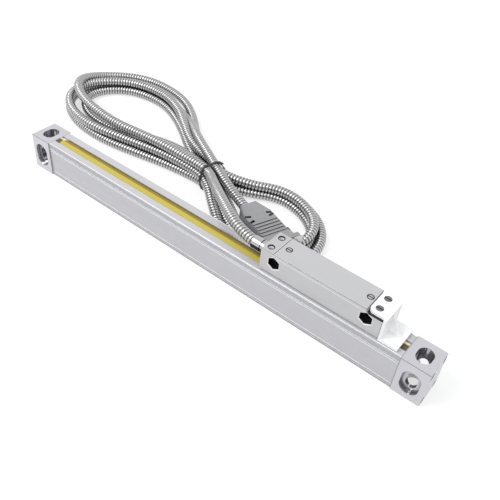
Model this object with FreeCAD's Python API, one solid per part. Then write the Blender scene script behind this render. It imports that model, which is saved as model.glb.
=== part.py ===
"""Enclosed optical linear scale with a sliding reading head and an armoured cable.

Millimetres. +X runs along the scale towards the end where the head rests, -Y is the front, +Z is up.
The origin is the middle of the housing's base. One STEP file is written for each piece.
"""
import FreeCAD, Part
import math
import os

from FreeCAD import Vector

# Overall scale
overall_length = 312.0
block_length = 17.5
block_width = 20.0
scale_height = 26.0
gasket_thickness = 0.5
housing_width = 19.0
edge_break = 0.4

# Housing section
side_wall = 2.0
floor_wall = 2.0
roof_wall = 3.5
face_groove_width = 0.8
face_groove_depth = 0.7
face_groove_pitch = 1.8
face_band_height = 3.3
panel_recess = 0.25
base_groove_width = 2.4
base_groove_depth = 0.6
base_groove_offset = 5.5
lip_slot_front = -4.25
lip_slot_back = 3.25
lip_bead_depth = 1.3
lip_bead_height = 1.5
lip_bead_drop = 2.6
lip_fit = 0.1
lip_ridge_rise = 0.2
lip_tip_thickness = 0.6
lip_end_gap = 1.5
lip_root_thickness = 0.9

# End screws, through the end blocks into the corner ports of the housing
end_screw_radius = 1.25
end_screw_fit = 0.05
end_screw_head_radius = 2.1
end_screw_head_height = 2.0
end_screw_head_sink = 2.3
end_screw_socket = 0.9
end_screw_grip = 10.0
port_offset = 7.25
port_level = 2.75
port_boss_half = 2.1

# End block slots
upright_slot_width = 9.0
upright_slot_length = 11.5
cross_slot_width = 6.6
cross_slot_length = 10.6
cross_slot_level = 12.5
cross_sink_width = 11.0
cross_sink_length = 17.0
cross_sink_depth = 2.2

# Glass scale standing on its bedding strip between two rails
glass_thickness = 3.0
glass_roof_gap = 6.3
glass_front = 1.95
glass_end_gap = 4.0
bedding_height = 1.2
rail_width = 1.0
rail_height = 1.6
rail_fit = 0.1

# Reading head
head_rest_inset = 72.6
head_length = 78.8
head_front = -7.5
head_back = 11.0
head_gap = 0.6
head_height = 15.4
head_pad_length = 8.4
bracket_seat_length = 9.8
head_wall = 2.5
head_floor = 2.5
cavity_left_inset = 7.6
cavity_right_inset = 6.2
cover_thickness = 1.6
cover_gasket_thickness = 0.4
cover_gasket_width = 2.0
cover_end_gap = 0.2
cover_chamfer = 0.25
cover_screw_left_inset = 4.6
cover_screw_right_inset = 3.2
cover_screw_radius = 1.25
cover_screw_head_radius = 2.0
cover_screw_head_height = 1.1
cover_screw_length = 7.0
cover_screw_fit = 0.15
screw_slot_width = 0.6
screw_slot_depth = 0.5
side_bolt_pitch = 60.0
side_bolt_height = 8.6
side_bolt_radius = 2.25
nut_pocket_flats = 7.2
nut_pocket_depth = 3.5
nut_pocket_chamfer = 0.4
pad_hole_inset = 4.1
pad_hole_pitch = 10.0
seat_hole_inset = 5.3
seat_hole_pitch = 9.0
top_hole_radius = 1.65
top_hole_depth = 7.0

# Cable ferrule and the wire duct behind it
ferrule_offset = 0.6
ferrule_height = 8.4
ferrule_radius = 4.0
ferrule_length = 10.5
ferrule_shank_radius = 3.0
ferrule_shank_length = 2.2
ferrule_bore_radius = 2.2
ferrule_groove_start = 3.6
ferrule_groove_depth = 0.4
ferrule_groove_width = 0.8
ferrule_chamfer = 0.3
duct_radius = 1.1
duct_height = 12.1

# Coupling blade between the lips, and the carriage inside the housing
blade_thickness = 0.5
blade_slit = 0.25
blade_half_width = 8.0
blade_foot_depth = 5.0
blade_height = 7.4
blade_rib_depth = 3.0
blade_rib_half_width = 10.0
blade_screw_radius = 0.8
blade_screw_head_radius = 1.4
blade_screw_head_height = 0.8
blade_screw_length = 2.6
blade_screw_half_pitch = 5.0
blade_screw_height = 5.4
foot_screw_offset = 3.0
carriage_half_length = 20.0
carriage_front = -6.8
carriage_plate = 2.0
carriage_foot_gap = 2.2
carriage_rise = 4.4
web_half_length = 9.0
web_gap = 1.0
web_thickness = 2.8
rear_leg_front = 6.2
rear_leg_back = 7.2
rear_leg_foot_gap = 2.8
lamp_board_thickness = 0.7
lamp_board_half_length = 7.0
lamp_board_foot_gap = 3.8
lamp_board_drop = 2.2
index_thickness = 1.0
index_gap = 0.3
index_half_length = 5.0
index_height = 4.0
sensor_board_thickness = 0.5
sensor_half_length = 6.0
sensor_height = 4.4
sensor_roller_gap = 0.8

# Guide rollers of the carriage
roller_radius = 2.5
roller_width = 2.3
roller_bore = 1.0
roller_gap = 0.3
roller_pin_fit = 0.05
roller_side_gap = 0.3
roller_spread = 16.0
roller_post_radius = 1.6
low_roller_rise = 2.9
mid_roller_drop = 4.8
roller_ear_thickness = 1.5
roller_ear_half_length = 2.6
roller_ear_back = 1.0
pin_tail = 0.3

# Circuit board inside the head
board_thickness = 1.2
board_end_gap = 3.9
board_front = -4.4
board_back = 7.9
board_height = 8.8
board_post_half = 1.5
board_post_depth = 3.0

# Transport bracket at the free end of the head
bracket_front = -6.3
bracket_wall_front = -8.0
bracket_wall_back = 10.0
bracket_wall = 1.6
bracket_side_gap = 0.3
bracket_foot_gap = 0.3
bracket_foot_thickness = 2.0
bracket_foot_length = 11.6
bracket_rib_thickness = 1.8
bracket_rib_offset = 0.6
bracket_rib_length = 7.8
bracket_rib_height = 13.0
bracket_corner = 3.0
bracket_screw_head_radius = 2.15
bracket_screw_head_height = 1.2
bracket_screw_radius = 1.6
bracket_screw_length = 6.0
bracket_hole_fit = 0.15

# Armoured cable: diameter, free leads and the tied figure-of-eight coil
cable_diameter = 7.0
head_lead_points = [
    (33.5, 0.6, 35.0),
    (20.0, 3.3, 35.1),
    (6.0, 11.0, 34.6),
    (-10.5, 23.3, 30.3),
    (-25.5, 35.8, 24.2),
    (-36.5, 45.6, 19.2),
    (-44.0, 52.2, 16.6),
]
plug_lead_points = [
    (-42.4, 59.4, 16.6),
    (-29.3, 52.6, 15.8),
    (-15.5, 46.4, 14.9),
    (-1.5, 41.0, 14.4),
]
coil_floor_gap = 0.2
left_loop_points = [
    (-73.0, 61.5),
    (-93.5, 61.0),
    (-116.0, 57.5),
    (-138.0, 51.5),
    (-159.5, 48.5),
    (-180.5, 51.5),
    (-197.5, 61.5),
    (-205.5, 75.0),
    (-206.5, 89.0),
    (-203.5, 102.5),
    (-194.0, 115.0),
    (-179.5, 122.0),
    (-161.0, 124.0),
    (-141.0, 121.5),
    (-122.0, 112.0),
    (-103.5, 99.0),
    (-84.0, 84.0),
    (-60.5, 67.0),
]
left_loop_centre = (-142.0, 88.0)
left_loop_half_width = 12.5
left_loop_height = 14.2
right_loop_points = [
    (-24.5, 70.5),
    (-9.5, 77.0),
    (5.0, 79.5),
    (19.5, 77.0),
    (33.0, 69.5),
    (42.0, 57.5),
    (45.0, 44.0),
    (41.0, 33.0),
    (30.0, 27.0),
    (14.0, 26.5),
    (-4.5, 32.5),
    (-22.0, 43.0),
    (-41.5, 57.5),
]
right_loop_centre = (10.0, 53.0)
right_loop_half_width = 9.6
right_loop_height = 6.8
bundle_middle = (-47.0, 59.5)
bundle_turn = -12.0
bundle_half_length = 6.0
bundle_half_width = 12.2
bundle_bottom = 1.5
bundle_height = 18.8
bundle_corner = 8.0
tie_width = 2.0
tie_thickness = 0.9
tie_gap = 0.1

# Plug: hood halves, nine-way connector and two thumb screws, in the plug's own frame
plug_turn = -21.0
hood_tail_half = 5.9
hood_shoulder = 11.0
hood_half_width = 9.6
hood_length = 41.5
hood_half_height = 6.4
hood_wall = 1.6
hood_edge = 0.5
hood_ear_half = 15.4
hood_ear_half_height = 4.2
hood_ear_thickness = 5.0
hood_ridge_start = 20.0
hood_ridge_pitch = 2.9
hood_ridge_count = 5
hood_ridge_width = 1.5
hood_ridge_height = 0.45
hood_notch_start = 15.5
hood_notch_length = 4.0
hood_notch_width = 1.9
hood_notch_spread = 2.0
hood_notch_depth = 1.2
hood_notch_lean = 20.0
thumb_screw_offset = 12.5
thumb_knob_radius = 2.4
thumb_knob_length = 8.5
thumb_neck_radius = 1.45
thumb_neck_fit = 0.1
thumb_tip_length = 3.4
thumb_knob_gap = 0.3
thumb_groove_start = 2.5
thumb_groove_width = 0.8
thumb_groove_depth = 0.5
flange_half_length = 15.2
flange_half_height = 5.4
flange_thickness = 0.9
dshell_half_width = 8.4
dshell_half_height = 4.1
dshell_slant = 1.4
dshell_depth = 5.6
dshell_wall = 0.5
insulator_back = 6.0
insulator_front = 1.2
insulator_fit = 0.05
pin_radius = 0.5
pin_length = 3.4
pin_pitch = 2.77
pin_row_gap = 2.84
clamp_start = 3.0
clamp_length = 4.0
clamp_bore = 2.0
clamp_fit = 0.1

# Places that follow from the sizes above
half_length = overall_length / 2
head_centre = half_length - head_rest_inset
block_inner = half_length - block_length
housing_half = block_inner - gasket_thickness
slot_centre_x = half_length - block_length / 2
cavity_half = housing_width / 2 - side_wall
roof_level = scale_height - roof_wall
lip_bead_level = scale_height - lip_bead_drop
lip_ridge_level = scale_height + lip_ridge_rise
port_levels = (port_level, scale_height - port_level)
glass_back = glass_front + glass_thickness
glass_bottom = floor_wall + bedding_height
glass_top = roof_level - glass_roof_gap
glass_half = housing_half - glass_end_gap
head_bottom = scale_height + head_gap
head_top = head_bottom + head_height
head_left = head_centre - head_length / 2
head_right = head_centre + head_length / 2
head_middle_y = (head_front + head_back) / 2
cover_left = head_left + head_pad_length
cover_right = head_right - bracket_seat_length
seat_level = head_top - cover_thickness - cover_gasket_thickness
cover_bottom = head_top - cover_thickness
cavity_floor = head_bottom + head_floor
cavity_left = cover_left + cavity_left_inset
cavity_right = cover_right - cavity_right_inset
side_bolt_level = head_bottom + side_bolt_height
ferrule_level = head_bottom + ferrule_height
duct_level = head_bottom + duct_height
board_level = head_bottom + board_height
board_left = cavity_left + board_end_gap
board_right = cavity_right - board_end_gap
cable_radius = cable_diameter / 2
blade_half = blade_thickness / 2
blade_top = head_bottom + blade_height
blade_screw_level = head_bottom + blade_screw_height
web_bottom = glass_top + web_gap
web_top = web_bottom + web_thickness
carriage_bottom = glass_bottom + carriage_foot_gap
carriage_top = glass_top + carriage_rise
rear_leg_bottom = glass_bottom + rear_leg_foot_gap
lamp_board_bottom = glass_bottom + lamp_board_foot_gap
lamp_board_top = web_bottom - lamp_board_drop
low_roller_bottom = glass_bottom + low_roller_rise
mid_roller_bottom = glass_top - mid_roller_drop
sensor_bottom = mid_roller_bottom - sensor_roller_gap - sensor_height
lip_tip = blade_half + blade_slit
plug_flange = hood_length + flange_thickness
cable_shift = head_left - ferrule_length - head_lead_points[0][0]

X_AXIS = Vector(1, 0, 0)
Y_AXIS = Vector(0, 1, 0)
Z_AXIS = Vector(0, 0, 1)


def box(x0, x1, y0, y1, z0, z1):
    """Block between two corners."""
    return Part.makeBox(x1 - x0, y1 - y0, z1 - z0, Vector(x0, y0, z0))


def rod(start, axis, radius, length):
    """Cylinder from a start point along an axis."""
    return Part.makeCylinder(radius, length, Vector(*start), axis)


def yz_face(points):
    """Flat face in the Y-Z plane from its corner points."""
    corners = [Vector(0, y, z) for y, z in points]
    return Part.Face(Part.makePolygon(corners + corners[:1]))


def yz_rect(y0, y1, z0, z1):
    """Rectangle in the Y-Z plane."""
    return yz_face([(y0, z0), (y1, z0), (y1, z1), (y0, z1)])


def yz_disc(y, z, radius):
    """Disc in the Y-Z plane."""
    circle = Part.Circle(Vector(0, y, z), X_AXIS, radius)
    return Part.Face(Part.Wire(circle.toShape()))


def along_x(face, x0, x1):
    """Extrude a Y-Z face from x0 to x1."""
    moved = face.copy()
    moved.translate(Vector(x0, 0, 0))
    return moved.extrude(Vector(x1 - x0, 0, 0))


def plan_prism(points, z0, z1):
    """Extrude a plan outline from z0 to z1."""
    corners = [Vector(x, y, z0) for x, y in points]
    return Part.Face(Part.makePolygon(corners + corners[:1])).extrude(Vector(0, 0, z1 - z0))


def slot(centre, long_axis, drill_axis, width, length, depth):
    """Round-ended slot, drilled from its centre point along drill_axis."""
    middle = Vector(*centre)
    reach = long_axis * ((length - width) / 2)
    across = drill_axis.cross(long_axis) * (width / 2)
    corners = [
        middle + reach + across, middle - reach + across,
        middle - reach - across, middle + reach - across,
    ]
    straight = Part.Face(Part.makePolygon(corners + corners[:1])).extrude(drill_axis * depth)
    ends = [Part.makeCylinder(width / 2, depth, middle + reach * side, drill_axis) for side in (1, -1)]
    return straight.fuse(ends).removeSplitter()


def turned(profile, axis_point, axis):
    """Revolve a list of (distance along axis, radius) points into a solid."""
    start = Vector(*axis_point)
    side = Vector(0, 0, 1) if abs(axis.z) < 0.5 else Vector(1, 0, 0)
    corners = [start + axis * along + side * radius for along, radius in profile]
    return Part.Face(Part.makePolygon(corners + corners[:1])).revolve(start, axis, 360)


def edges_where(shape, test):
    """Edges whose two end points both pass a test."""
    chosen = []
    for edge in shape.Edges:
        ends = [vertex.Point for vertex in edge.Vertexes]
        if len(ends) == 2 and all(test(point) for point in ends):
            chosen.append(edge)
    return chosen


def near(value, target):
    """True where two lengths agree."""
    return abs(value - target) < 1e-4


def save(name, *solids):
    """Write one node, which may be a group of separate solids."""
    shape = solids[0] if len(solids) == 1 else Part.makeCompound(list(solids))
    shape.exportStep("parts/" + name + ".step")


def socket_screw(head_seat, axis, radius, length, head_radius, head_height, socket_radius):
    """Screw whose head stands on head_seat and whose shank runs along axis."""
    seat = Vector(*head_seat)
    head = Part.makeCylinder(head_radius, head_height, seat, axis * -1)
    shank = Part.makeCylinder(radius, length, seat, axis)
    top = seat - axis * head_height
    socket = Part.makeCylinder(socket_radius, head_height / 2, top, axis)
    return head.fuse(shank).removeSplitter().cut(socket)


# Scale housing


def housing_outline():
    """Outer outline of the housing and its gaskets, with broken corners."""
    half = housing_width / 2
    brk = edge_break
    return yz_face([
        (-half + brk, 0), (half - brk, 0), (half, brk), (half, scale_height - brk),
        (half - brk, scale_height), (-half + brk, scale_height), (-half, scale_height - brk), (-half, brk),
    ])


def port_places():
    """Centres of the four corner ports."""
    return [(side * port_offset, level) for side in (-1, 1) for level in port_levels]


def face_grooves():
    """Decorative groove pairs and the shallow panel on the front and back faces."""
    cuts = []
    half = housing_width / 2
    groove_levels = [scale_height - face_band_height - step * face_groove_pitch for step in (0, 1)]
    groove_levels += [face_band_height + step * face_groove_pitch - face_groove_pitch for step in (0, 1)]
    panel_low = max(groove_levels[2:])
    panel_high = min(groove_levels[:2])
    for side in (-1, 1):
        outer = side * (half + 1)
        for level in groove_levels:
            inner = side * (half - face_groove_depth)
            low = level - face_groove_width / 2
            cuts.append(yz_rect(min(outer, inner), max(outer, inner), low, low + face_groove_width))
        inner = side * (half - panel_recess)
        cuts.append(yz_rect(min(outer, inner), max(outer, inner), panel_low, panel_high))
        groove = side * base_groove_offset
        half_groove = base_groove_width / 2
        cuts.append(yz_rect(groove - half_groove, groove + half_groove, -1, base_groove_depth))
    return cuts


def housing_extrusion():
    """One section, extruded: cavity, corner ports, glass rails, lip slot with its bead channels."""
    cavity = yz_rect(-cavity_half, cavity_half, floor_wall, roof_level)
    bosses = []
    for y, z in port_places():
        reach_y = math.copysign(cavity_half + 1, y)
        reach_z = floor_wall - 1 if z < scale_height / 2 else roof_level + 1
        inner_y = y - math.copysign(port_boss_half, y)
        inner_z = z + port_boss_half if z < scale_height / 2 else z - port_boss_half
        bosses.append(yz_rect(min(reach_y, inner_y), max(reach_y, inner_y),
                              min(reach_z, inner_z), max(reach_z, inner_z)))
    rail_top = floor_wall + rail_height
    front_rail = glass_front - rail_fit
    back_rail = glass_back + rail_fit
    rails = [
        yz_rect(front_rail - rail_width, front_rail, floor_wall, rail_top),
        yz_rect(back_rail, back_rail + rail_width, floor_wall, rail_top),
    ]
    cavity = cavity.cut(bosses + rails)
    lip_slot = yz_rect(lip_slot_front, lip_slot_back, roof_level - 1, scale_height + 1)
    bead_top = lip_bead_level + lip_bead_height
    channels = [
        yz_rect(lip_slot_front - lip_bead_depth, lip_slot_front + 1, lip_bead_level, bead_top),
        yz_rect(lip_slot_back - 1, lip_slot_back + lip_bead_depth, lip_bead_level, bead_top),
    ]
    ports = [yz_disc(y, z, end_screw_radius + end_screw_fit) for y, z in port_places()]
    section = housing_outline().cut([cavity, lip_slot] + channels + ports + face_grooves())
    return along_x(section.Faces[0], -housing_half, housing_half)


def lip_seal(slot_edge):
    """Lip strip: a bead in its channel and a blade that rises to the ridge beside the slit."""
    side = -1 if slot_edge < 0 else 1
    bead_low = lip_bead_level + lip_fit
    bead_high = lip_bead_level + lip_bead_height - lip_fit
    bead_out = slot_edge + side * (lip_bead_depth - lip_fit)
    root = slot_edge - side * lip_fit
    tip = side * lip_tip
    points = [
        (bead_out, bead_low), (root, bead_low), (root, bead_high - lip_root_thickness),
        (tip, lip_ridge_level - lip_tip_thickness), (tip, lip_ridge_level),
        (root, bead_high), (bead_out, bead_high),
    ]
    return along_x(yz_face(points), lip_end_gap - housing_half, housing_half - lip_end_gap)


def end_block(side):
    """End block with its upright slot, sunk cross slot and screw holes."""
    x0, x1 = sorted((side * block_inner, side * half_length))
    half = block_width / 2
    block = box(x0, x1, -half, half, 0, scale_height)
    block = block.makeChamfer(edge_break, edges_where(block, lambda p: near(p.x, side * half_length)))
    centre = side * slot_centre_x
    over = 1.0
    upright = slot((centre, 0, -over), Y_AXIS, Z_AXIS,
                   upright_slot_width, upright_slot_length, scale_height + 2 * over)
    cross = slot((centre, -half - over, cross_slot_level), Z_AXIS, Y_AXIS,
                 cross_slot_width, cross_slot_length, block_width + 2 * over)
    sink = slot((centre, -half - over, cross_slot_level), Z_AXIS, Y_AXIS,
                cross_sink_width, cross_sink_length, cross_sink_depth + over)
    cuts = [upright, cross, sink]
    inward = X_AXIS * -side
    for y, z in port_places():
        face = (side * (half_length + over), y, z)
        cuts.append(rod(face, inward, end_screw_radius + end_screw_fit, block_length + 2 * over))
        cuts.append(rod(face, inward, end_screw_head_radius + cover_screw_fit, end_screw_head_sink + over))
    return block.cut(cuts)


def end_gasket(side):
    """Thin gasket between the housing and an end block."""
    window = cavity_half - port_boss_half
    section = housing_outline().cut(
        [yz_rect(-window, window, port_levels[0] + port_boss_half, port_levels[1] - port_boss_half)]
        + [yz_disc(y, z, end_screw_radius + end_screw_fit) for y, z in port_places()])
    x0, x1 = sorted((side * housing_half, side * block_inner))
    return along_x(section.Faces[0], x0, x1)


def end_screws():
    """Eight socket screws, four at each end."""
    screws = []
    length = block_length - end_screw_head_sink + gasket_thickness + end_screw_grip
    for side in (-1, 1):
        seat_x = side * (half_length - end_screw_head_sink)
        for y, z in port_places():
            screws.append(socket_screw((seat_x, y, z), X_AXIS * -side, end_screw_radius, length,
                                       end_screw_head_radius, end_screw_head_height, end_screw_socket))
    return screws


def glass_scale():
    return box(-glass_half, glass_half, glass_front, glass_back, glass_bottom, glass_top)


def glass_bedding():
    return box(-glass_half, glass_half, glass_front, glass_back, floor_wall, glass_bottom)


# Reading head


def hexagon(x, y, corner):
    """Outline in a plane of constant Y, with upright flats to the left and right."""
    points = []
    for step in range(6):
        turn = math.radians(30 + 60 * step)
        points.append(Vector(x + corner * math.cos(turn), y, side_bolt_level + corner * math.sin(turn)))
    return Part.makePolygon(points + points[:1])


def hexagon_pocket(x):
    """Nut pocket in the front face, with a chamfered mouth."""
    corner = nut_pocket_flats / math.sqrt(3)
    pocket = Part.Face(hexagon(x, head_front, corner)).extrude(Vector(0, nut_pocket_depth, 0))
    rings = [hexagon(x, head_front + step, corner + nut_pocket_chamfer - step)
             for step in (-nut_pocket_chamfer, nut_pocket_chamfer)]
    return pocket.fuse(Part.makeLoft(rings, True, True))


def pad_hole_places():
    """Tapped holes on top of the head's raised pad."""
    return [(head_left + pad_hole_inset, head_middle_y + side * pad_hole_pitch / 2) for side in (-1, 1)]


def seat_hole_places():
    """Tapped holes in the low seat under the bracket plate."""
    middle = (bracket_front + head_back) / 2
    return [(head_right - seat_hole_inset, middle + side * seat_hole_pitch / 2) for side in (-1, 1)]


def cover_screw_places():
    return [(cover_left + cover_screw_left_inset, head_middle_y),
            (cover_right - cover_screw_right_inset, head_middle_y)]


def head_body():
    """Machined head with a raised pad, a board cavity, nut pockets and tapped holes."""
    body = box(head_left, head_right, head_front, head_back, head_bottom, head_top)
    upright = edges_where(body, lambda p: near(p.x, head_left) or near(p.x, head_right))
    body = body.makeChamfer(edge_break, upright)
    over = 1.0
    cuts = [
        box(cover_left, head_right + over, head_front - over, head_back + over, seat_level, head_top + over),
        box(cavity_left, cavity_right, head_front + head_wall, head_back - head_wall, cavity_floor, head_top),
        rod((head_left - over, ferrule_offset, ferrule_level), X_AXIS,
            ferrule_shank_radius, ferrule_shank_length + over),
        rod((head_left + over, ferrule_offset, duct_level), X_AXIS, duct_radius, cavity_left - head_left),
        box(head_centre - blade_half_width - blade_slit, head_centre + blade_half_width + blade_slit,
            -lip_tip, blade_half, head_bottom - over, cavity_floor + over),
    ]
    for side in (-1, 1):
        x = head_centre + side * side_bolt_pitch / 2
        cuts.append(hexagon_pocket(x))
        cuts.append(rod((x, head_front - over, side_bolt_level), Y_AXIS, side_bolt_radius,
                        head_back - head_front + 2 * over))
    for x, y in pad_hole_places():
        cuts.append(rod((x, y, head_top + over), Z_AXIS * -1, top_hole_radius, top_hole_depth + over))
    for x, y in seat_hole_places():
        cuts.append(rod((x, y, seat_level + over), Z_AXIS * -1, top_hole_radius, top_hole_depth + over))
    for x, y in cover_screw_places():
        cuts.append(rod((x, y, seat_level + over), Z_AXIS * -1,
                        cover_screw_radius, cover_screw_length + over))
    body = body.cut(cuts)
    rib = box(head_centre - blade_rib_half_width, head_centre + blade_rib_half_width,
              blade_half, blade_half + blade_rib_depth, cavity_floor, blade_top)
    holes = [rod((head_centre + side * blade_screw_half_pitch, 0, blade_screw_level), Y_AXIS,
                 blade_screw_radius, blade_screw_length) for side in (-1, 1)]
    post_places = (board_left + board_post_half, board_right - board_post_half)
    posts = [box(x - board_post_half, x + board_post_half, board_back - board_post_depth, board_back,
                 cavity_floor, board_level) for x in post_places]
    return body.fuse([rib.cut(holes)] + posts).removeSplitter()


def head_cover():
    """Flat cover between the raised pad and the bracket, with sunk screw seats."""
    x0 = cover_left + cover_end_gap
    x1 = cover_right - cover_end_gap
    cover = box(x0, x1, head_front, head_back, cover_bottom, head_top)
    cover = cover.makeChamfer(cover_chamfer, edges_where(cover, lambda p: near(p.z, head_top)))
    cuts = []
    for x, y in cover_screw_places():
        cuts.append(rod((x, y, cover_bottom - 1), Z_AXIS,
                        cover_screw_radius + cover_screw_fit, cover_thickness + 2))
        cuts.append(rod((x, y, head_top - cover_screw_head_height), Z_AXIS,
                        cover_screw_head_radius + cover_screw_fit, cover_thickness))
    return cover.cut(cuts)


def cover_gasket():
    """Flat frame gasket under the cover."""
    x0 = cover_left + cover_end_gap
    x1 = cover_right - cover_end_gap
    frame = box(x0, x1, head_front, head_back, seat_level, cover_bottom)
    window = box(cavity_left, cavity_right, head_front + cover_gasket_width, head_back - cover_gasket_width,
                 seat_level - 1, cover_bottom + 1)
    holes = [rod((x, y, seat_level - 1), Z_AXIS, cover_screw_radius + cover_screw_fit,
                 cover_gasket_thickness + 2) for x, y in cover_screw_places()]
    return frame.cut([window] + holes)


def slotted_screw(x, y, head_radius, head_height, shank_radius, length):
    """Slotted cheese-head screw whose head is flush with the top of the head."""
    seat = head_top - head_height
    head = rod((x, y, seat), Z_AXIS, head_radius, head_height)
    shank = rod((x, y, seat), Z_AXIS * -1, shank_radius, length)
    cut = box(x - head_radius, x + head_radius, y - screw_slot_width / 2, y + screw_slot_width / 2,
              head_top - screw_slot_depth, head_top + 1)
    return head.fuse(shank).removeSplitter().cut(cut)


def cover_screws():
    return [slotted_screw(x, y, cover_screw_head_radius, cover_screw_head_height, cover_screw_radius,
                          cover_screw_length - cover_thickness) for x, y in cover_screw_places()]


def head_circuit_board():
    """Signal board on two posts, above the blade rib."""
    return box(board_left, board_right, board_front, board_back, board_level, board_level + board_thickness)


def cable_ferrule():
    """Turned ferrule: grooved collar outside, shank in the end of the head."""
    groove = ferrule_groove_start
    deep = ferrule_radius - ferrule_groove_depth
    shank = ferrule_shank_radius - end_screw_fit
    profile = [
        (-ferrule_shank_length, ferrule_bore_radius), (-ferrule_shank_length, shank),
        (0, shank), (0, ferrule_radius),
        (groove, ferrule_radius), (groove, deep), (groove + ferrule_groove_width, deep),
        (groove + ferrule_groove_width, ferrule_radius), (ferrule_length - ferrule_chamfer, ferrule_radius),
        (ferrule_length, ferrule_radius - ferrule_chamfer), (ferrule_length, ferrule_bore_radius),
    ]
    return turned(profile, (head_left, ferrule_offset, ferrule_level), X_AXIS * -1)


# Coupling blade, carriage and its guide rollers


def coupling_blade():
    """Bent spring-steel blade: foot on the carriage web, upright between the lips."""
    upright = box(head_centre - blade_half_width, head_centre + blade_half_width,
                  -blade_half, blade_half, web_top, blade_top)
    foot = box(head_centre - blade_half_width, head_centre + blade_half_width,
               -blade_half, blade_foot_depth, web_top, web_top + blade_thickness)
    holes = []
    for side in (-1, 1):
        x = head_centre + side * blade_screw_half_pitch
        holes.append(rod((x, -1, blade_screw_level), Y_AXIS, blade_screw_radius + end_screw_fit, 2))
        holes.append(rod((x, foot_screw_offset, web_top - 1), Z_AXIS, blade_screw_radius + end_screw_fit, 3))
    return upright.fuse(foot).removeSplitter().cut(holes)


def blade_screws():
    """Two screws into the head's rib and two into the carriage web."""
    screws = []
    for side in (-1, 1):
        x = head_centre + side * blade_screw_half_pitch
        screws.append(socket_screw((x, -blade_half, blade_screw_level), Y_AXIS, blade_screw_radius,
                                   blade_screw_length, blade_screw_head_radius, blade_screw_head_height,
                                   blade_screw_radius / 2))
        screws.append(socket_screw((x, foot_screw_offset, web_top + blade_thickness), Z_AXIS * -1,
                                   blade_screw_radius, blade_screw_length, blade_screw_head_radius,
                                   blade_screw_head_height, blade_screw_radius / 2))
    return screws


def face_roller_y():
    return glass_front - roller_gap - roller_radius


def edge_roller_z():
    return glass_top + roller_gap + roller_radius


def glass_middle_y():
    return (glass_front + glass_back) / 2


face_roller_places = {
    "face_roller_left": (-roller_spread, low_roller_bottom),
    "face_roller_middle": (0.0, mid_roller_bottom),
    "face_roller_right": (roller_spread, low_roller_bottom),
}
edge_roller_places = {"edge_roller_left": -roller_spread, "edge_roller_right": roller_spread}


def face_roller(offset, bottom):
    """Ball-bearing roller on the glass face, turning about Z."""
    start = (head_centre + offset, face_roller_y(), bottom)
    return rod(start, Z_AXIS, roller_radius, roller_width).cut(rod(start, Z_AXIS, roller_bore, roller_width))


def edge_roller(offset):
    """Ball-bearing roller on the glass edge, turning about Y."""
    start = (head_centre + offset, glass_middle_y() - roller_width / 2, edge_roller_z())
    return rod(start, Y_AXIS, roller_radius, roller_width).cut(rod(start, Y_AXIS, roller_bore, roller_width))


def roller_ear_level(bottom):
    return bottom + roller_width + roller_side_gap


def edge_post_end():
    return glass_middle_y() - roller_width / 2 - roller_side_gap


def carriage_frame():
    """Die-cast carriage: front plate, web over the glass, rear leg, roller ears and posts."""
    plate_back = carriage_front + carriage_plate
    frame = [
        box(head_centre - carriage_half_length, head_centre + carriage_half_length,
            carriage_front, plate_back, carriage_bottom, carriage_top),
        box(head_centre - web_half_length, head_centre + web_half_length,
            plate_back, rear_leg_back, web_bottom, web_top),
        box(head_centre - web_half_length, head_centre + web_half_length,
            rear_leg_front, rear_leg_back, rear_leg_bottom, web_bottom),
        box(head_centre - sensor_half_length, head_centre + sensor_half_length,
            plate_back, sensor_board_back() - sensor_board_thickness,
            sensor_bottom, sensor_bottom + sensor_height),
    ]
    holes = []
    pin_hole = roller_bore - roller_pin_fit
    for offset, bottom in face_roller_places.values():
        x = head_centre + offset
        level = roller_ear_level(bottom)
        frame.append(box(x - roller_ear_half_length, x + roller_ear_half_length, plate_back, roller_ear_back,
                         level, level + roller_ear_thickness))
        holes.append(rod((x, face_roller_y(), level - 1), Z_AXIS, pin_hole, roller_ear_thickness + 2))
    for offset in edge_roller_places.values():
        x = head_centre + offset
        frame.append(rod((x, plate_back, edge_roller_z()), Y_AXIS, roller_post_radius,
                         edge_post_end() - plate_back))
        holes.append(rod((x, carriage_front - 1, edge_roller_z()), Y_AXIS, pin_hole,
                         edge_post_end() - carriage_front + 2))
    for side in (-1, 1):
        x = head_centre + side * blade_screw_half_pitch
        holes.append(rod((x, foot_screw_offset, web_bottom - 1), Z_AXIS, blade_screw_radius,
                         web_top - web_bottom + 2))
    return frame[0].fuse(frame[1:]).removeSplitter().cut(holes)


def roller_pins():
    """Plain pins that carry the five rollers."""
    pins = []
    radius = roller_bore - roller_pin_fit
    for offset, bottom in face_roller_places.values():
        low = bottom - pin_tail
        high = roller_ear_level(bottom) + roller_ear_thickness
        pins.append(rod((head_centre + offset, face_roller_y(), low), Z_AXIS, radius, high - low))
    for offset in edge_roller_places.values():
        far = glass_middle_y() + roller_width / 2 + pin_tail
        pins.append(rod((head_centre + offset, carriage_front, edge_roller_z()), Y_AXIS, radius,
                        far - carriage_front))
    return pins


def lamp_board():
    """Lamp board on the rear leg, behind the glass."""
    return box(head_centre - lamp_board_half_length, head_centre + lamp_board_half_length,
               rear_leg_front - lamp_board_thickness, rear_leg_front,
               lamp_board_bottom, lamp_board_top)


def index_grating():
    """Small grating glass in front of the scale."""
    back = glass_front - index_gap
    low = sensor_bottom + (sensor_height - index_height) / 2
    return box(head_centre - index_half_length, head_centre + index_half_length,
               back - index_thickness, back, low, low + index_height)


def sensor_board_back():
    return glass_front - index_gap - index_thickness


def sensor_board():
    """Photocell board between the carriage and the grating glass."""
    return box(head_centre - sensor_half_length, head_centre + sensor_half_length,
               sensor_board_back() - sensor_board_thickness, sensor_board_back(),
               sensor_bottom, sensor_bottom + sensor_height)


# Transport bracket


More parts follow.
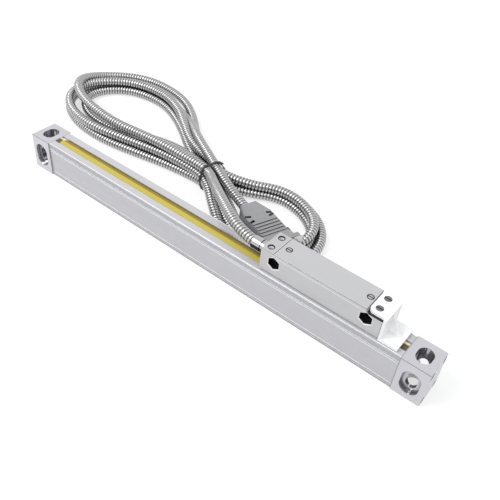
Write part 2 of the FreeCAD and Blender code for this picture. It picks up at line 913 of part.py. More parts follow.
def transport_bracket():
    """Moulded bracket: plate on the low seat, upright wall, foot above the housing and a gusset rib."""
    wall_inner = head_right + bracket_side_gap
    wall_outer = wall_inner + bracket_wall
    foot_bottom = scale_height + bracket_foot_gap
    foot_top = foot_bottom + bracket_foot_thickness
    plate_left = cover_right + bracket_side_gap
    plate = box(plate_left, wall_outer, bracket_front, head_back, seat_level, head_top)
    corner = edges_where(plate, lambda p: near(p.x, plate_left) and near(p.y, bracket_front))
    plate = plate.makeFillet(bracket_corner, corner)
    wall = box(wall_inner, wall_outer, bracket_wall_front, bracket_wall_back, foot_bottom, head_top)
    foot = box(wall_inner, wall_inner + bracket_foot_length, bracket_wall_front, bracket_wall_back,
               foot_bottom, foot_top)
    rib_low = bracket_rib_offset - bracket_rib_thickness / 2
    triangle = [
        Vector(wall_outer, rib_low, foot_top),
        Vector(wall_outer + bracket_rib_length, rib_low, foot_top),
        Vector(wall_outer, rib_low, foot_top + bracket_rib_height),
    ]
    rib = Part.Face(Part.makePolygon(triangle + triangle[:1])).extrude(Vector(0, bracket_rib_thickness, 0))
    holes = []
    plate_thickness = head_top - seat_level
    for x, y in seat_hole_places():
        holes.append(rod((x, y, seat_level - 1), Z_AXIS, bracket_screw_radius + bracket_hole_fit,
                         plate_thickness + 2))
        holes.append(rod((x, y, head_top - bracket_screw_head_height), Z_AXIS,
                         bracket_screw_head_radius + bracket_hole_fit, plate_thickness))
    return plate.fuse([wall, foot, rib]).removeSplitter().cut(holes)


def bracket_screws():
    return [slotted_screw(x, y, bracket_screw_head_radius, bracket_screw_head_height, bracket_screw_radius,
                          bracket_screw_length) for x, y in seat_hole_places()]


# Cable


def with_head(shape):
    """Keep the cable and plug at the end of the head, wherever the head rests."""
    placed = shape.copy()
    placed.translate(Vector(cable_shift, 0, 0))
    return placed


def cord_tube(name, points, radius):
    """Round tube along straight runs joined by tangent arcs, each as large as its runs allow."""
    knots = [Vector(*point) for point in points]
    edges = []
    radii = []
    start = knots[0]
    for before, knot, after in zip(knots, knots[1:], knots[2:]):
        run_in = knot - before
        run_out = after - knot
        shorter = min(run_in.Length, run_out.Length)
        turn = run_in.getAngle(run_out)
        trim = 0.45 * shorter
        radii.append(trim / math.tan(turn / 2))
        into = Vector(run_in).normalize()
        away = Vector(run_out).normalize()
        arc_start = knot - into * trim
        arc_end = knot + away * trim
        to_centre = Vector(away - into).normalize()
        middle = knot + to_centre * (radii[-1] / math.cos(turn / 2) - radii[-1])
        edges.append(Part.LineSegment(start, arc_start).toShape())
        edges.append(Part.Arc(arc_start, middle, arc_end).toShape())
        start = arc_end
    edges.append(Part.LineSegment(start, knots[-1]).toShape())
    path = Part.Wire(edges)
    ring = Part.Wire(Part.Circle(knots[0], knots[1] - knots[0], radius).toShape())
    tube = path.makePipeShell([ring], True, False)
    ratio = tube.Volume / (math.pi * radius ** 2 * path.Length)
    print(name, "length", round(path.Length, 1), "volume ratio", round(ratio, 4))
    print(name, "radii", [round(r, 1) for r in radii])
    return tube


def loop_band(points, centre, half_width, height):
    """Flat band of the lying strands of one loop, round its open middle."""
    middle = Vector(centre[0], centre[1], coil_floor_gap)
    faces = []
    for grow in (half_width, -half_width):
        ring = []
        for x, y in points:
            arm = Vector(x, y, coil_floor_gap) - middle
            ring.append(middle + arm * ((arm.Length + grow) / arm.Length))
        curve = Part.BSplineCurve()
        curve.interpolate(ring, True)
        faces.append(Part.Face(Part.Wire(curve.toShape())))
    rise = Vector(0, 0, height)
    return faces[0].extrude(rise).cut(faces[1].extrude(rise))


def at_bundle(shape):
    """Turn a shape drawn at the origin to the bundle's heading and move it there."""
    placed = shape.copy()
    placed.rotate(Vector(0, 0, 0), Z_AXIS, bundle_turn)
    placed.translate(Vector(bundle_middle[0], bundle_middle[1], 0))
    return placed


def bundle_bar(grow, half_length):
    """Rounded bar of the strands where the tie pinches them, grown all round by a margin."""
    half = bundle_half_width + grow
    top = bundle_bottom + bundle_height + grow
    bar = box(-half_length, half_length, -half, half, bundle_bottom - grow, top)
    long_edges = [edge for edge in bar.Edges if near(edge.Length, 2 * half_length)]
    return bar.makeFillet(bundle_corner + grow, long_edges)


def cable_coil():
    """Outer shape of the tied coil: two open loops and the pinched bundle between them."""
    left = loop_band(left_loop_points, left_loop_centre, left_loop_half_width, left_loop_height)
    right = loop_band(right_loop_points, right_loop_centre, right_loop_half_width, right_loop_height)
    half = tie_width / 2 + tie_gap
    reach = 2 * bundle_half_width
    trench = at_bundle(box(-half, half, -reach, reach, 0, bundle_height))
    bar = at_bundle(bundle_bar(0, bundle_half_length))
    return left.fuse(right).cut(trench).fuse(bar).removeSplitter()


def cable_tie():
    """Thin tie round the bundle."""
    outer = bundle_bar(tie_gap + tie_thickness, tie_width / 2)
    return at_bundle(outer.cut(bundle_bar(tie_gap, tie_width)))


# Plug


def in_plug_frame(shape):
    """Move a shape from the plug's own frame to where the plug lies."""
    placed = shape.copy()
    placed.rotate(Vector(0, 0, 0), Z_AXIS, plug_turn)
    placed.translate(Vector(*plug_lead_points[-1]))
    return placed


def hood_outline(inset):
    """Plan outline of the hood, drawn in by inset."""
    tail = hood_tail_half - inset
    half = hood_half_width - inset
    return [(inset, -tail), (hood_shoulder, -half), (hood_length - inset, -half),
            (hood_length - inset, half), (hood_shoulder, half), (inset, tail)]


def hood_block(z0, z1):
    """Solid block of one hood half, with the screw ears at its wide end."""
    block = plan_prism(hood_outline(0), z0, z1)
    ears = box(hood_length - hood_ear_thickness, hood_length, -hood_ear_half, hood_ear_half,
               max(z0, -hood_ear_half_height), min(z1, hood_ear_half_height))
    return block.fuse(ears).removeSplitter()


def hood_shell(side):
    """One hood half: hollow shell with grip ridges and a pair of latch notches on each flank."""
    face = side * hood_half_height
    z0, z1 = sorted((0, face))
    block = hood_block(z0, z1)
    rim = edges_where(block, lambda p: near(p.z, face) and p.x < hood_length - hood_ear_thickness - 0.5)
    block = block.makeChamfer(hood_edge, rim)
    ridges = []
    for step in range(hood_ridge_count):
        start = hood_ridge_start + step * hood_ridge_pitch
        low, high = sorted((face - side * hood_edge, face + side * hood_ridge_height))
        ridges.append(box(start, start + hood_ridge_width, -hood_half_width + hood_edge,
                          hood_half_width - hood_edge, low, high))
    block = block.fuse(ridges).removeSplitter()
    inner_face = side * (hood_half_height - hood_wall)
    low, high = sorted((-side, inner_face))
    hollow = plan_prism(hood_outline(hood_wall), low, high)
    mouth = box(hood_length - 2 * hood_wall, hood_length + 1, -dshell_half_width - insulator_fit,
                dshell_half_width + insulator_fit, -dshell_half_height - insulator_fit,
                dshell_half_height + insulator_fit)
    tail = rod((-1, 0, 0), X_AXIS, clamp_bore, hood_wall + 2)
    necks = [rod((hood_length - hood_ear_thickness - 1, flank * thumb_screw_offset, 0), X_AXIS,
                 thumb_neck_radius + thumb_neck_fit, hood_ear_thickness + 2) for flank in (-1, 1)]
    notches = []
    for flank in (-1, 1):
        for lean in (-1, 1):
            notch = box(hood_notch_start, hood_notch_start + hood_notch_length, -hood_notch_width / 2,
                        hood_notch_width / 2, face - hood_notch_depth, face + hood_notch_depth)
            notch.rotate(Vector(hood_notch_start, 0, 0), Z_AXIS, 90 * flank + lean * hood_notch_lean)
            inboard = hood_half_width - hood_notch_length
            notch.translate(Vector(lean * hood_notch_spread, flank * inboard, 0))
            notches.append(notch)
    return in_plug_frame(block.cut([hollow, mouth, tail] + necks + notches))


def d_outline(grow):
    """Corner points of the D-shaped connector opening, in the plug's Y-Z plane."""
    wide = dshell_half_width + grow
    high = dshell_half_height + grow
    return [(-wide, high), (wide, high), (wide - dshell_slant, -high), (-wide + dshell_slant, -high)]


def connector_shell():
    """Pressed flange with the D-shaped skirt."""
    flange = box(hood_length, plug_flange, -flange_half_length, flange_half_length,
                 -flange_half_height, flange_half_height)
    skirt = along_x(yz_face(d_outline(0)), plug_flange, plug_flange + dshell_depth)
    opening = along_x(yz_face(d_outline(-dshell_wall)), hood_length - 1, plug_flange + dshell_depth + 1)
    necks = [rod((hood_length - 1, flank * thumb_screw_offset, 0), X_AXIS,
                 thumb_neck_radius + thumb_neck_fit, flange_thickness + 2) for flank in (-1, 1)]
    return in_plug_frame(flange.fuse(skirt).removeSplitter().cut([opening] + necks))


def pin_places():
    """Nine contacts in rows of five and four."""
    rows = [(5, pin_row_gap / 2), (4, -pin_row_gap / 2)]
    return [((step - (count - 1) / 2) * pin_pitch, z) for count, z in rows for step in range(count)]


def connector_insulator():
    """Moulded insert that holds the contacts."""
    back = hood_length - insulator_back
    front = plug_flange + insulator_front
    block = along_x(yz_face(d_outline(-dshell_wall - insulator_fit)), back, front)
    holes = [rod((back - 1, y, z), X_AXIS, pin_radius, front - back + 2) for y, z in pin_places()]
    return in_plug_frame(block.cut(holes))


def connector_pins():
    start = hood_length - insulator_back
    length = insulator_back + flange_thickness + insulator_front + pin_length
    return [in_plug_frame(rod((start, y, z), X_AXIS, pin_radius, length)) for y, z in pin_places()]


def cable_clamp():
    """Split-ring clamp that holds the cable's inner jacket inside the hood."""
    half = hood_tail_half - hood_wall - clamp_fit
    high = hood_half_height - hood_wall - clamp_fit
    ring = box(clamp_start, clamp_start + clamp_length, -half, half, -high, high)
    return in_plug_frame(ring.cut(rod((0, 0, 0), X_AXIS, clamp_bore, hood_length)))


def thumb_screw(flank):
    """Thumb screw: grooved knob behind the ear, neck through ear and flange."""
    knob_end = hood_length - hood_ear_thickness - thumb_knob_gap
    knob_start = knob_end - thumb_knob_length
    groove = knob_start + thumb_groove_start
    low = thumb_knob_radius - thumb_groove_depth
    profile = [
        (knob_start, 0), (knob_start, thumb_knob_radius - hood_edge),
        (knob_start + hood_edge, thumb_knob_radius),
        (groove, thumb_knob_radius), (groove, low), (groove + thumb_groove_width, low),
        (groove + thumb_groove_width, thumb_knob_radius), (knob_end, thumb_knob_radius),
        (knob_end, thumb_neck_radius), (plug_flange + thumb_tip_length, thumb_neck_radius),
        (plug_flange + thumb_tip_length, 0),
    ]
    return in_plug_frame(turned(profile, (0, flank * thumb_screw_offset, 0), X_AXIS))


def main():
    os.makedirs("parts", exist_ok=True)
    save("housing_extrusion", housing_extrusion())
    save("front_lip_seal", lip_seal(lip_slot_front))
    save("rear_lip_seal", lip_seal(lip_slot_back))
    for name, side in (("left", -1), ("right", 1)):
        save(name + "_end_block", end_block(side))
        save(name + "_end_gasket", end_gasket(side))
    save("end_screws", *end_screws())
    save("glass_scale", glass_scale())
    save("glass_bedding", glass_bedding())

    save("head_body", head_body())
    save("head_cover", head_cover())
    save("cover_gasket", cover_gasket())
    save("cover_screws", *cover_screws())
    save("head_circuit_board", head_circuit_board())
    save("cable_ferrule", cable_ferrule())
    save("coupling_blade", coupling_blade())
    save("blade_screws", *blade_screws())
    save("carriage_frame", carriage_frame())
    save("roller_pins", *roller_pins())
    save("lamp_board", lamp_board())
    save("index_grating", index_grating())
    save("sensor_board", sensor_board())
    for name, (offset, bottom) in face_roller_places.items():
        save(name, face_roller(offset, bottom))
    for name, offset in edge_roller_places.items():
        save(name, edge_roller(offset))
    save("transport_bracket", transport_bracket())
    save("bracket_screws", *bracket_screws())

    save("head_lead", with_head(cord_tube("head_lead", head_lead_points, cable_radius)))
    save("plug_lead", with_head(cord_tube("plug_lead", plug_lead_points, cable_radius)))
    save("cable_coil", with_head(cable_coil()))
    save("cable_tie", with_head(cable_tie()))
    save("hood_top_shell", with_head(hood_shell(1)))
    save("hood_bottom_shell", with_head(hood_shell(-1)))
    save("connector_shell", with_head(connector_shell()))
    save("connector_insulator", with_head(connector_insulator()))
    save("connector_pins", *[with_head(pin) for pin in connector_pins()])
    save("cable_clamp", with_head(cable_clamp()))
    save("near_thumb_screw", with_head(thumb_screw(-1)))
    save("far_thumb_screw", with_head(thumb_screw(1)))


main()
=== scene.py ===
"""Looks of the enclosed optical linear scale: finishes of its solids, armoured cable, cable tie and lips.

Metres, in the frame of the solids: +X along the scale towards the head's rest, -Y the front, +Z up.
"""
import math

import bpy
from mathutils import Matrix, Vector


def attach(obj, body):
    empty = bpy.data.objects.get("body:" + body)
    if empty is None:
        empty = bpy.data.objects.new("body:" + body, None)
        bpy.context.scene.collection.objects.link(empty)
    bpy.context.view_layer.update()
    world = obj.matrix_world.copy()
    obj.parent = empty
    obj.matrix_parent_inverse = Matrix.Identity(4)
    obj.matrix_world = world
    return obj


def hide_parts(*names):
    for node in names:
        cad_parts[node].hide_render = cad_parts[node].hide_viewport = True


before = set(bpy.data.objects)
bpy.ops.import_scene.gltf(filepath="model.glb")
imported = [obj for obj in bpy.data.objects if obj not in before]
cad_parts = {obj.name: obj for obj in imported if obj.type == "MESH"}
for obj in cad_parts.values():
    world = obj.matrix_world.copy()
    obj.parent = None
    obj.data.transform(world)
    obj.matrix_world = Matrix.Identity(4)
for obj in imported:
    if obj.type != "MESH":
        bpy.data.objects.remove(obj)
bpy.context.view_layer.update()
scene = bpy.context.scene
scene.view_settings.view_transform = "Standard"
MM = 0.001
X = (1.0, 0.0, 0.0)
Y = (0.0, 1.0, 0.0)
Z = (0.0, 0.0, 1.0)
EVEN = (1.0, 1.0, 1.0)
WHITE = (1.0, 1.0, 1.0, 1.0)

# Nodes


def feed(tree, socket, source):
    """Give an input a plain value, or link another node's output to it."""
    if isinstance(source, bpy.types.NodeSocket):
        tree.links.new(source, socket)
    else:
        socket.default_value = source


def number_step(tree, operation, *sources):
    """Output of a Math node over plain numbers and other nodes' outputs."""
    step = tree.nodes.new("ShaderNodeMath")
    step.operation = operation
    for socket, source in zip(step.inputs, sources):
        feed(tree, socket, source)
    return step.outputs[0]


def vector_step(tree, operation, *sources, output="Vector"):
    """Output of a Vector Math node over plain vectors and other nodes' outputs."""
    step = tree.nodes.new("ShaderNodeVectorMath")
    step.operation = operation
    for socket, source in zip(step.inputs, sources):
        feed(tree, socket, source)
    return step.outputs[output]


def shaded(tree, colour, factor):
    """Colour times a number."""
    step = tree.nodes.new("ShaderNodeVectorMath")
    step.operation = "SCALE"
    tree.links.new(colour, step.inputs[0])
    tree.links.new(factor, step.inputs["Scale"])
    return step.outputs[0]


def spread(tree, value, before, after):
    """Value brought from one range of low and high to another, and held at its ends."""
    step = tree.nodes.new("ShaderNodeMapRange")
    tree.links.new(value, step.inputs["Value"])
    for label, source in zip(("From Min", "From Max", "To Min", "To Max"), (*before, *after)):
        feed(tree, step.inputs[label], source)
    return step.outputs["Result"]


# Kind of mix, places of the mask and the two values among the Mix node's inputs, and place of its result
MIX_COLOURS = ("RGBA", (0, 6, 7), 2)
MIX_NUMBERS = ("FLOAT", (0, 2, 3), 0)


def mixed(tree, sort, mask, first, second):
    """Value that is the first where the mask is 0, and the second where it is 1."""
    kind, inputs, result = sort
    mix = tree.nodes.new("ShaderNodeMix")
    mix.data_type = kind
    for number, source in zip(inputs, (mask, first, second)):
        feed(tree, mix.inputs[number], source)
    return mix.outputs[result]


# Camera, floor and light


def photo_camera():
    """Camera at the photograph's angle, with the lens that its perspective asks for."""
    right = Vector((0.7832, 0.6163, 0.0817))
    up = Vector((-0.4657, 0.4945, 0.7338))
    behind = Vector((0.4119, -0.6128, 0.6744))
    place = Vector((0.1860, -0.2294, 0.2796))
    data = bpy.data.cameras.new("photo_camera")
    data.sensor_width = 36.0
    data.lens = 45.754
    data.clip_start = 0.01
    data.clip_end = 30.0
    camera = bpy.data.objects.new("photo_camera", data)
    turn = Matrix((right, up, behind)).transposed().to_quaternion().to_matrix().to_4x4()
    camera.matrix_world = Matrix.Translation(place) @ turn
    scene.collection.objects.link(camera)
    scene.camera = camera


def backdrop_ray(tree):
    """Light Path mask that is 1 for the rays which show the backdrop itself."""
    rays = tree.nodes.new("ShaderNodeLightPath").outputs
    seen = number_step(tree, "MAXIMUM", rays["Is Camera Ray"], rays["Is Glossy Ray"])
    return number_step(tree, "MAXIMUM", seen, rays["Is Transmission Ray"])


def studio_world(dome_strength):
    """White backdrop for the camera, and a soft dome of light on the object."""
    world = bpy.data.worlds.new("studio")
    world.use_nodes = True
    tree = world.node_tree
    tree.nodes.clear()
    dome = tree.nodes.new("ShaderNodeBackground")
    dome.inputs["Color"].default_value = (0.97, 0.98, 1.0, 1.0)
    dome.inputs["Strength"].default_value = dome_strength
    backdrop = tree.nodes.new("ShaderNodeBackground")
    backdrop.inputs["Color"].default_value = WHITE
    backdrop.inputs["Strength"].default_value = 1.0
    mix = tree.nodes.new("ShaderNodeMixShader")
    out = tree.nodes.new("ShaderNodeOutputWorld")
    tree.links.new(backdrop_ray(tree), mix.inputs[0])
    tree.links.new(dome.outputs[0], mix.inputs[1])
    tree.links.new(backdrop.outputs[0], mix.inputs[2])
    tree.links.new(mix.outputs[0], out.inputs["Surface"])
    scene.world = world


def floor(glow, paint):
    """Wide white table top that keeps a light shadow."""
    half = 6.0
    corners = [(-half, -half, 0), (half, -half, 0), (half, half, 0), (-half, half, 0)]
    mesh = bpy.data.meshes.new("floor")
    mesh.from_pydata(corners, [], [(0, 1, 2, 3)])
    table = bpy.data.objects.new("floor", mesh)
    scene.collection.objects.link(table)
    material = bpy.data.materials.new("white_table")
    material.use_nodes = True
    tree = material.node_tree
    tree.nodes.clear()
    diffuse = tree.nodes.new("ShaderNodeBsdfDiffuse")
    diffuse.inputs["Color"].default_value = (paint, paint, paint, 1.0)
    emission = tree.nodes.new("ShaderNodeEmission")
    emission.inputs["Color"].default_value = WHITE
    tree.links.new(number_step(tree, "MULTIPLY", backdrop_ray(tree), glow), emission.inputs["Strength"])
    both = tree.nodes.new("ShaderNodeAddShader")
    out = tree.nodes.new("ShaderNodeOutputMaterial")
    tree.links.new(diffuse.outputs[0], both.inputs[0])
    tree.links.new(emission.outputs[0], both.inputs[1])
    tree.links.new(both.outputs[0], out.inputs["Surface"])
    mesh.materials.append(material)


def soft_lamp(name, place, aim, size, watts):
    """Square soft box that points at a spot on the object."""
    data = bpy.data.lights.new(name, "AREA")
    data.size = size
    data.energy = watts
    lamp = bpy.data.objects.new(name, data)
    lamp.location = place
    lamp.rotation_euler = (Vector(aim) - Vector(place)).to_track_quat("-Z", "Y").to_euler()
    scene.collection.objects.link(lamp)


# Effects that the finishes share, each one a node group

NUMBER = "NodeSocketFloat"
VECTOR = "NodeSocketVector"
COLOUR = "NodeSocketColor"
GREY = (0.8, 0.8, 0.8, 1.0)
ORIGIN = (0.0, 0.0, 0.0)


def new_group(name, inputs, output):
    """New shader node group with named sockets, what its input node gives, and what its output node takes."""
    tree = bpy.data.node_groups.new(name, "ShaderNodeTree")
    for label, kind, value in inputs:
        tree.interface.new_socket(label, in_out="INPUT", socket_type=kind).default_value = value
    label, kind = output
    tree.interface.new_socket(label, in_out="OUTPUT", socket_type=kind)
    given = tree.nodes.new("NodeGroupInput").outputs
    return tree, given, tree.nodes.new("NodeGroupOutput").inputs[label]


def placed(tree, group, **sources):
    """Output of a group placed in a tree, with plain values and other nodes' outputs as its inputs."""
    holder = tree.nodes.new("ShaderNodeGroup")
    holder.node_tree = group
    for label, source in sources.items():
        feed(tree, holder.inputs[label], source)
    return holder.outputs[0]


def stretched_noise(tree, given, detail):
    """Noise over the object's own coordinates, drawn out in the directions that the stretch makes small."""
    place = tree.nodes.new("ShaderNodeTexCoord").outputs["Object"]
    noise = tree.nodes.new("ShaderNodeTexNoise")
    noise.inputs["Detail"].default_value = detail
    tree.links.new(vector_step(tree, "MULTIPLY", place, given["Stretch"]), noise.inputs["Vector"])
    tree.links.new(given["Scale"], noise.inputs["Scale"])
    return noise.outputs["Fac"]


def openness(tree, reach, inside):
    """How open the space is round a point of the surface, outside the solid or inside it."""
    test = tree.nodes.new("ShaderNodeAmbientOcclusion")
    test.samples = 12
    test.only_local = True
    test.inside = inside
    tree.links.new(reach, test.inputs["Distance"])
    return test.outputs["AO"]


def tone_group():
    """Colour that drifts a little lighter and darker over the surface."""
    tree, given, result = new_group(
        "drifting_tone",
        [("Colour", COLOUR, GREY), ("Amount", NUMBER, 0.05), ("Scale", NUMBER, 60.0),
         ("Stretch", VECTOR, EVEN)],
        ("Colour", COLOUR))
    noise_middle = 0.5
    drift = number_step(tree, "SUBTRACT", stretched_noise(tree, given, detail=4.0), noise_middle)
    swing = number_step(tree, "MULTIPLY_ADD", drift, given["Amount"], 1.0)
    tree.links.new(shaded(tree, given["Colour"], swing), result)
    return tree


def rub_group():
    """Roughness that varies where hands and cloths have rubbed."""
    tree, given, result = new_group(
        "rubbed_roughness",
        [("Low", NUMBER, 0.3), ("High", NUMBER, 0.45), ("Scale", NUMBER, 90.0), ("Stretch", VECTOR, EVEN)],
        ("Roughness", NUMBER))
    noise_range = (0.3, 0.7)
    noise = stretched_noise(tree, given, detail=5.0)
    tree.links.new(spread(tree, noise, noise_range, (given["Low"], given["High"])), result)
    return tree


def grain_group():
    """Height of a fine grain: drawn lines, blasting or moulded texture by its stretch and scale."""
    tree, given, result = new_group(
        "surface_grain", [("Scale", NUMBER, 3000.0), ("Stretch", VECTOR, EVEN)], ("Height", NUMBER))
    tree.links.new(stretched_noise(tree, given, detail=2.0), result)
    return tree


def recess_group():
    """Colour with painted shade that goes dark in grooves, slots, pockets and gaps."""
    tree, given, result = new_group(
        "recess_shade",
        [("Colour", COLOUR, GREY), ("Reach", NUMBER, 0.004), ("Darkest", NUMBER, 0.3)], ("Colour", COLOUR))
    closed_to_open = (0.45, 0.92)
    open_share = openness(tree, given["Reach"], inside=False)
    light = spread(tree, open_share, closed_to_open, (given["Darkest"], 1.0))
    tree.links.new(shaded(tree, given["Colour"], light), result)
    return tree


def edge_light_group():
    """Colour with painted light along outer edges: a highlight where it is brighter, a dark line where
    darker.
    """
    tree, given, result = new_group(
        "painted_edge_light",
        [("Colour", COLOUR, GREY), ("Width", NUMBER, 0.0004), ("Bare", COLOUR, (0.9, 0.9, 0.9, 1.0))],
        ("Colour", COLOUR))
    edge_to_flat = (0.55, 0.9)
    mask = spread(tree, openness(tree, given["Width"], inside=True), edge_to_flat, (1.0, 0.0))
    tree.links.new(mixed(tree, MIX_COLOURS, mask, given["Colour"], given["Bare"]), result)
    return tree


def second_group():
    """Colour with a second one in its place where the mask is 1."""
    tree, given, result = new_group(
        "second_colour", [("Colour", COLOUR, GREY), ("Second", COLOUR, GREY), ("Mask", NUMBER, 0.0)],
        ("Colour", COLOUR))
    tree.links.new(mixed(tree, MIX_COLOURS, given["Mask"], given["Colour"], given["Second"]), result)
    return tree


def dull_group():
    """Metallic value that falls to 0 where the mask is 1."""
    tree, given, result = new_group(
        "dulled_metal", [("Metallic", NUMBER, 1.0), ("Mask", NUMBER, 0.0)], ("Metallic", NUMBER))
    kept = number_step(tree, "SUBTRACT", 1.0, given["Mask"])
    tree.links.new(number_step(tree, "MULTIPLY", kept, given["Metallic"]), result)
    return tree


def mask_group(name, inputs, test):
    """Mask from a test of each place on the surface, kept within another mask."""
    tree, given, result = new_group(
        name, [("Place", VECTOR, ORIGIN), ("Within", NUMBER, 1.0)] + inputs, ("Mask", NUMBER))
    tree.links.new(number_step(tree, "MULTIPLY", test(tree, given), given["Within"]), result)
    return tree


def along_axis(tree, given):
    """Coordinate of a place along the group's axis."""
    return vector_step(tree, "DOT_PRODUCT", given["Place"], given["Axis"], output="Value")


def near_planes(tree, given):
    """1 near the two planes that lie equally far on either side of the middle of an axis."""
    away = number_step(tree, "ABSOLUTE", along_axis(tree, given))
    return number_step(tree, "COMPARE", away, given["Distance"], given["Half"])


def past_plane(tree, given):
    """1 past a limit along an axis."""
    return number_step(tree, "GREATER_THAN", along_axis(tree, given), given["Limit"])


def from_pair(tree, given):
    """Place as seen from the nearer one of two points, at the middle plus and minus an offset."""
    from_middle = vector_step(tree, "SUBTRACT", given["Place"], given["Middle"])
    return vector_step(tree, "SUBTRACT", vector_step(tree, "ABSOLUTE", from_middle), given["Offset"])


def in_circles(tree, given):
    """1 inside two upright cylinders."""
    flat = vector_step(tree, "MULTIPLY", from_pair(tree, given), (1.0, 1.0, 0.0))
    return number_step(tree, "LESS_THAN", vector_step(tree, "LENGTH", flat, output="Value"), given["Radius"])


def in_hexagons(tree, given):
    """1 in a six-sided band round two points, with the band's size measured to the flats."""
    slant = (math.cos(math.radians(60.0)), 0.0, math.sin(math.radians(60.0)))
    away = vector_step(tree, "ABSOLUTE", from_pair(tree, given))
    to_side = vector_step(tree, "DOT_PRODUCT", away, X, output="Value")
    to_slant = vector_step(tree, "DOT_PRODUCT", away, slant, output="Value")
    to_flat = number_step(tree, "MAXIMUM", to_side, to_slant)
    return number_step(tree, "COMPARE", to_flat, given["Distance"], given["Half"])


TONE = tone_group()
RUB = rub_group()
EDGE_LIGHT = edge_light_group()
GRAIN = grain_group()
RECESS = recess_group()
SECOND = second_group()
DULL = dull_group()
BAND = [("Distance", NUMBER, 0.0), ("Half", NUMBER, 0.0)]
PAIR = [("Middle", VECTOR, ORIGIN), ("Offset", VECTOR, ORIGIN)]
PLANES = mask_group("near_planes", [("Axis", VECTOR, Z)] + BAND, near_planes)
PAST = mask_group("past_plane", [("Axis", VECTOR, Z), ("Limit", NUMBER, 0.0)], past_plane)
CIRCLES = mask_group("upright_circles", PAIR + [("Radius", NUMBER, 0.0)], in_circles)
HEXAGONS = mask_group("six_sided_bands", PAIR + BAND, in_hexagons)

# Finishes

# The drifting noise swings by half to either side of its middle, and the rubbed one is finer than it
TONE_SWING = 2.0
RUB_FINENESS = 1.5


def finish(name, colour, rough, metallic=0.0, tone=0.06, tone_scale=60.0, grain_scale=2500.0, stretch=EVEN,
           grain_depth=0.02 * MM, specular=0.5, reach=2.0 * MM, darkest=0.35, edge_light=None, edge=0.6 * MM):
    """Material of one finish: drifting tone, painted recess shade, painted edge light, rubbed roughness and a
    fine grain.
    """
    material = bpy.data.materials.new(name)
    material.use_nodes = True
    tree = material.node_tree
    shader = tree.nodes["Principled BSDF"].inputs
    shader["Metallic"].default_value = metallic
    shader["Specular IOR Level"].default_value = specular
    paint = placed(tree, TONE, Colour=(*colour, 1.0), Amount=tone * TONE_SWING, Scale=tone_scale,
                   Stretch=stretch)
    paint = placed(tree, RECESS, Colour=paint, Reach=reach, Darkest=darkest)
    if edge_light:
        paint = placed(tree, EDGE_LIGHT, Colour=paint, Width=edge, Bare=(edge_light, edge_light, edge_light, 1.0))
    tree.links.new(paint, shader["Base Color"])
    low, high = rough
    rub = placed(tree, RUB, Low=low, High=high, Scale=tone_scale * RUB_FINENESS, Stretch=stretch)
    tree.links.new(rub, shader["Roughness"])
    bump = tree.nodes.new("ShaderNodeBump")
    bump.inputs["Strength"].default_value = 1.0
    bump.inputs["Distance"].default_value = grain_depth
    tree.links.new(placed(tree, GRAIN, Scale=grain_scale, Stretch=stretch), bump.inputs["Height"])
    tree.links.new(bump.outputs["Normal"], shader["Normal"])
    return material


def glass(name):
    """Clear glass with a faint green tone."""
    material = bpy.data.materials.new(name)
    material.use_nodes = True
    tree = material.node_tree
    shader = tree.nodes["Principled BSDF"].inputs
    shader["Transmission Weight"].default_value = 0.9
    shader["IOR"].default_value = 1.5
    paint = placed(tree, TONE, Colour=(0.85, 0.93, 0.9, 1.0), Amount=0.05, Scale=80.0)
    tree.links.new(paint, shader["Base Color"])
    tree.links.new(placed(tree, RUB, Low=0.02, High=0.06, Scale=90.0), shader["Roughness"])
    return material


# Grain drawn out along the scale, along the lips and up the milled blocks
DRAWN = (0.02, 1.0, 1.0)
EXTRUDED = (0.1, 1.0, 1.0)
MILLED = (1.0, 1.0, 0.04)

housing_finish = finish("anodised_extrusion", (0.585, 0.582, 0.615), rough=(0.34, 0.46), metallic=0.75,
                        tone=0.03, tone_scale=200.0, grain_scale=5000.0, stretch=DRAWN, reach=1.6 * MM,
                        darkest=0.8)
# The blocks' edges take a painted dark line, and their slots and holes take painted shade
block_finish = finish("milled_block", (0.60, 0.595, 0.63), rough=(0.24, 0.36), metallic=0.85, tone=0.04,
                      tone_scale=160.0, grain_scale=4200.0, stretch=MILLED, reach=9.0 * MM, darkest=0.34,
                      edge_light=0.5, edge=0.4 * MM)
# The head's edges take painted highlights, and its pockets and slots take deep painted shade
head_finish = finish("anodised_head", (0.55, 0.55, 0.56), rough=(0.36, 0.48), metallic=0.75, tone=0.03,
                     tone_scale=120.0, grain_scale=5200.0, reach=6.0 * MM, darkest=0.01, edge_light=0.85,
                     edge=0.7 * MM)
cover_finish = finish("brushed_cover", (0.57, 0.57, 0.58), rough=(0.34, 0.46), metallic=0.75, tone=0.03,
                      tone_scale=220.0, grain_scale=5000.0, stretch=DRAWN, darkest=0.05)
front_lip_finish = finish("yellow_lip", (0.48, 0.385, 0.05), rough=(0.45, 0.6), tone=0.05, tone_scale=150.0,
                          stretch=EXTRUDED)
# The rear lip is the yellow rubber darkened by painted shade, as it slopes away from the light
rear_lip_finish = finish("shaded_yellow_lip", (0.29, 0.225, 0.03), rough=(0.5, 0.65), tone_scale=150.0,
                         stretch=EXTRUDED, specular=0.2)
gasket_finish = finish("grey_gasket", (0.36, 0.36, 0.365), rough=(0.6, 0.75), tone=0.2, tone_scale=400.0)
seam_finish = finish("pale_cover_gasket", (0.68, 0.68, 0.69), rough=(0.6, 0.75), tone=0.1, tone_scale=400.0)
cover_screw_finish = finish("cover_screw_steel", (0.5, 0.5, 0.51), rough=(0.26, 0.4), metallic=1.0,
                            tone_scale=500.0, grain_scale=5000.0, reach=1.0 * MM, darkest=0.2)
steel_finish = finish("plain_steel", (0.46, 0.46, 0.47), rough=(0.26, 0.4), metallic=1.0, tone_scale=500.0,
                      grain_scale=5000.0, reach=1.0 * MM, darkest=0.04)
dark_screw_finish = finish("blackened_screw", (0.2, 0.2, 0.205), rough=(0.3, 0.45), metallic=0.8, tone=0.15,
                           tone_scale=700.0, grain_scale=4000.0, reach=1.0 * MM, darkest=0.1)
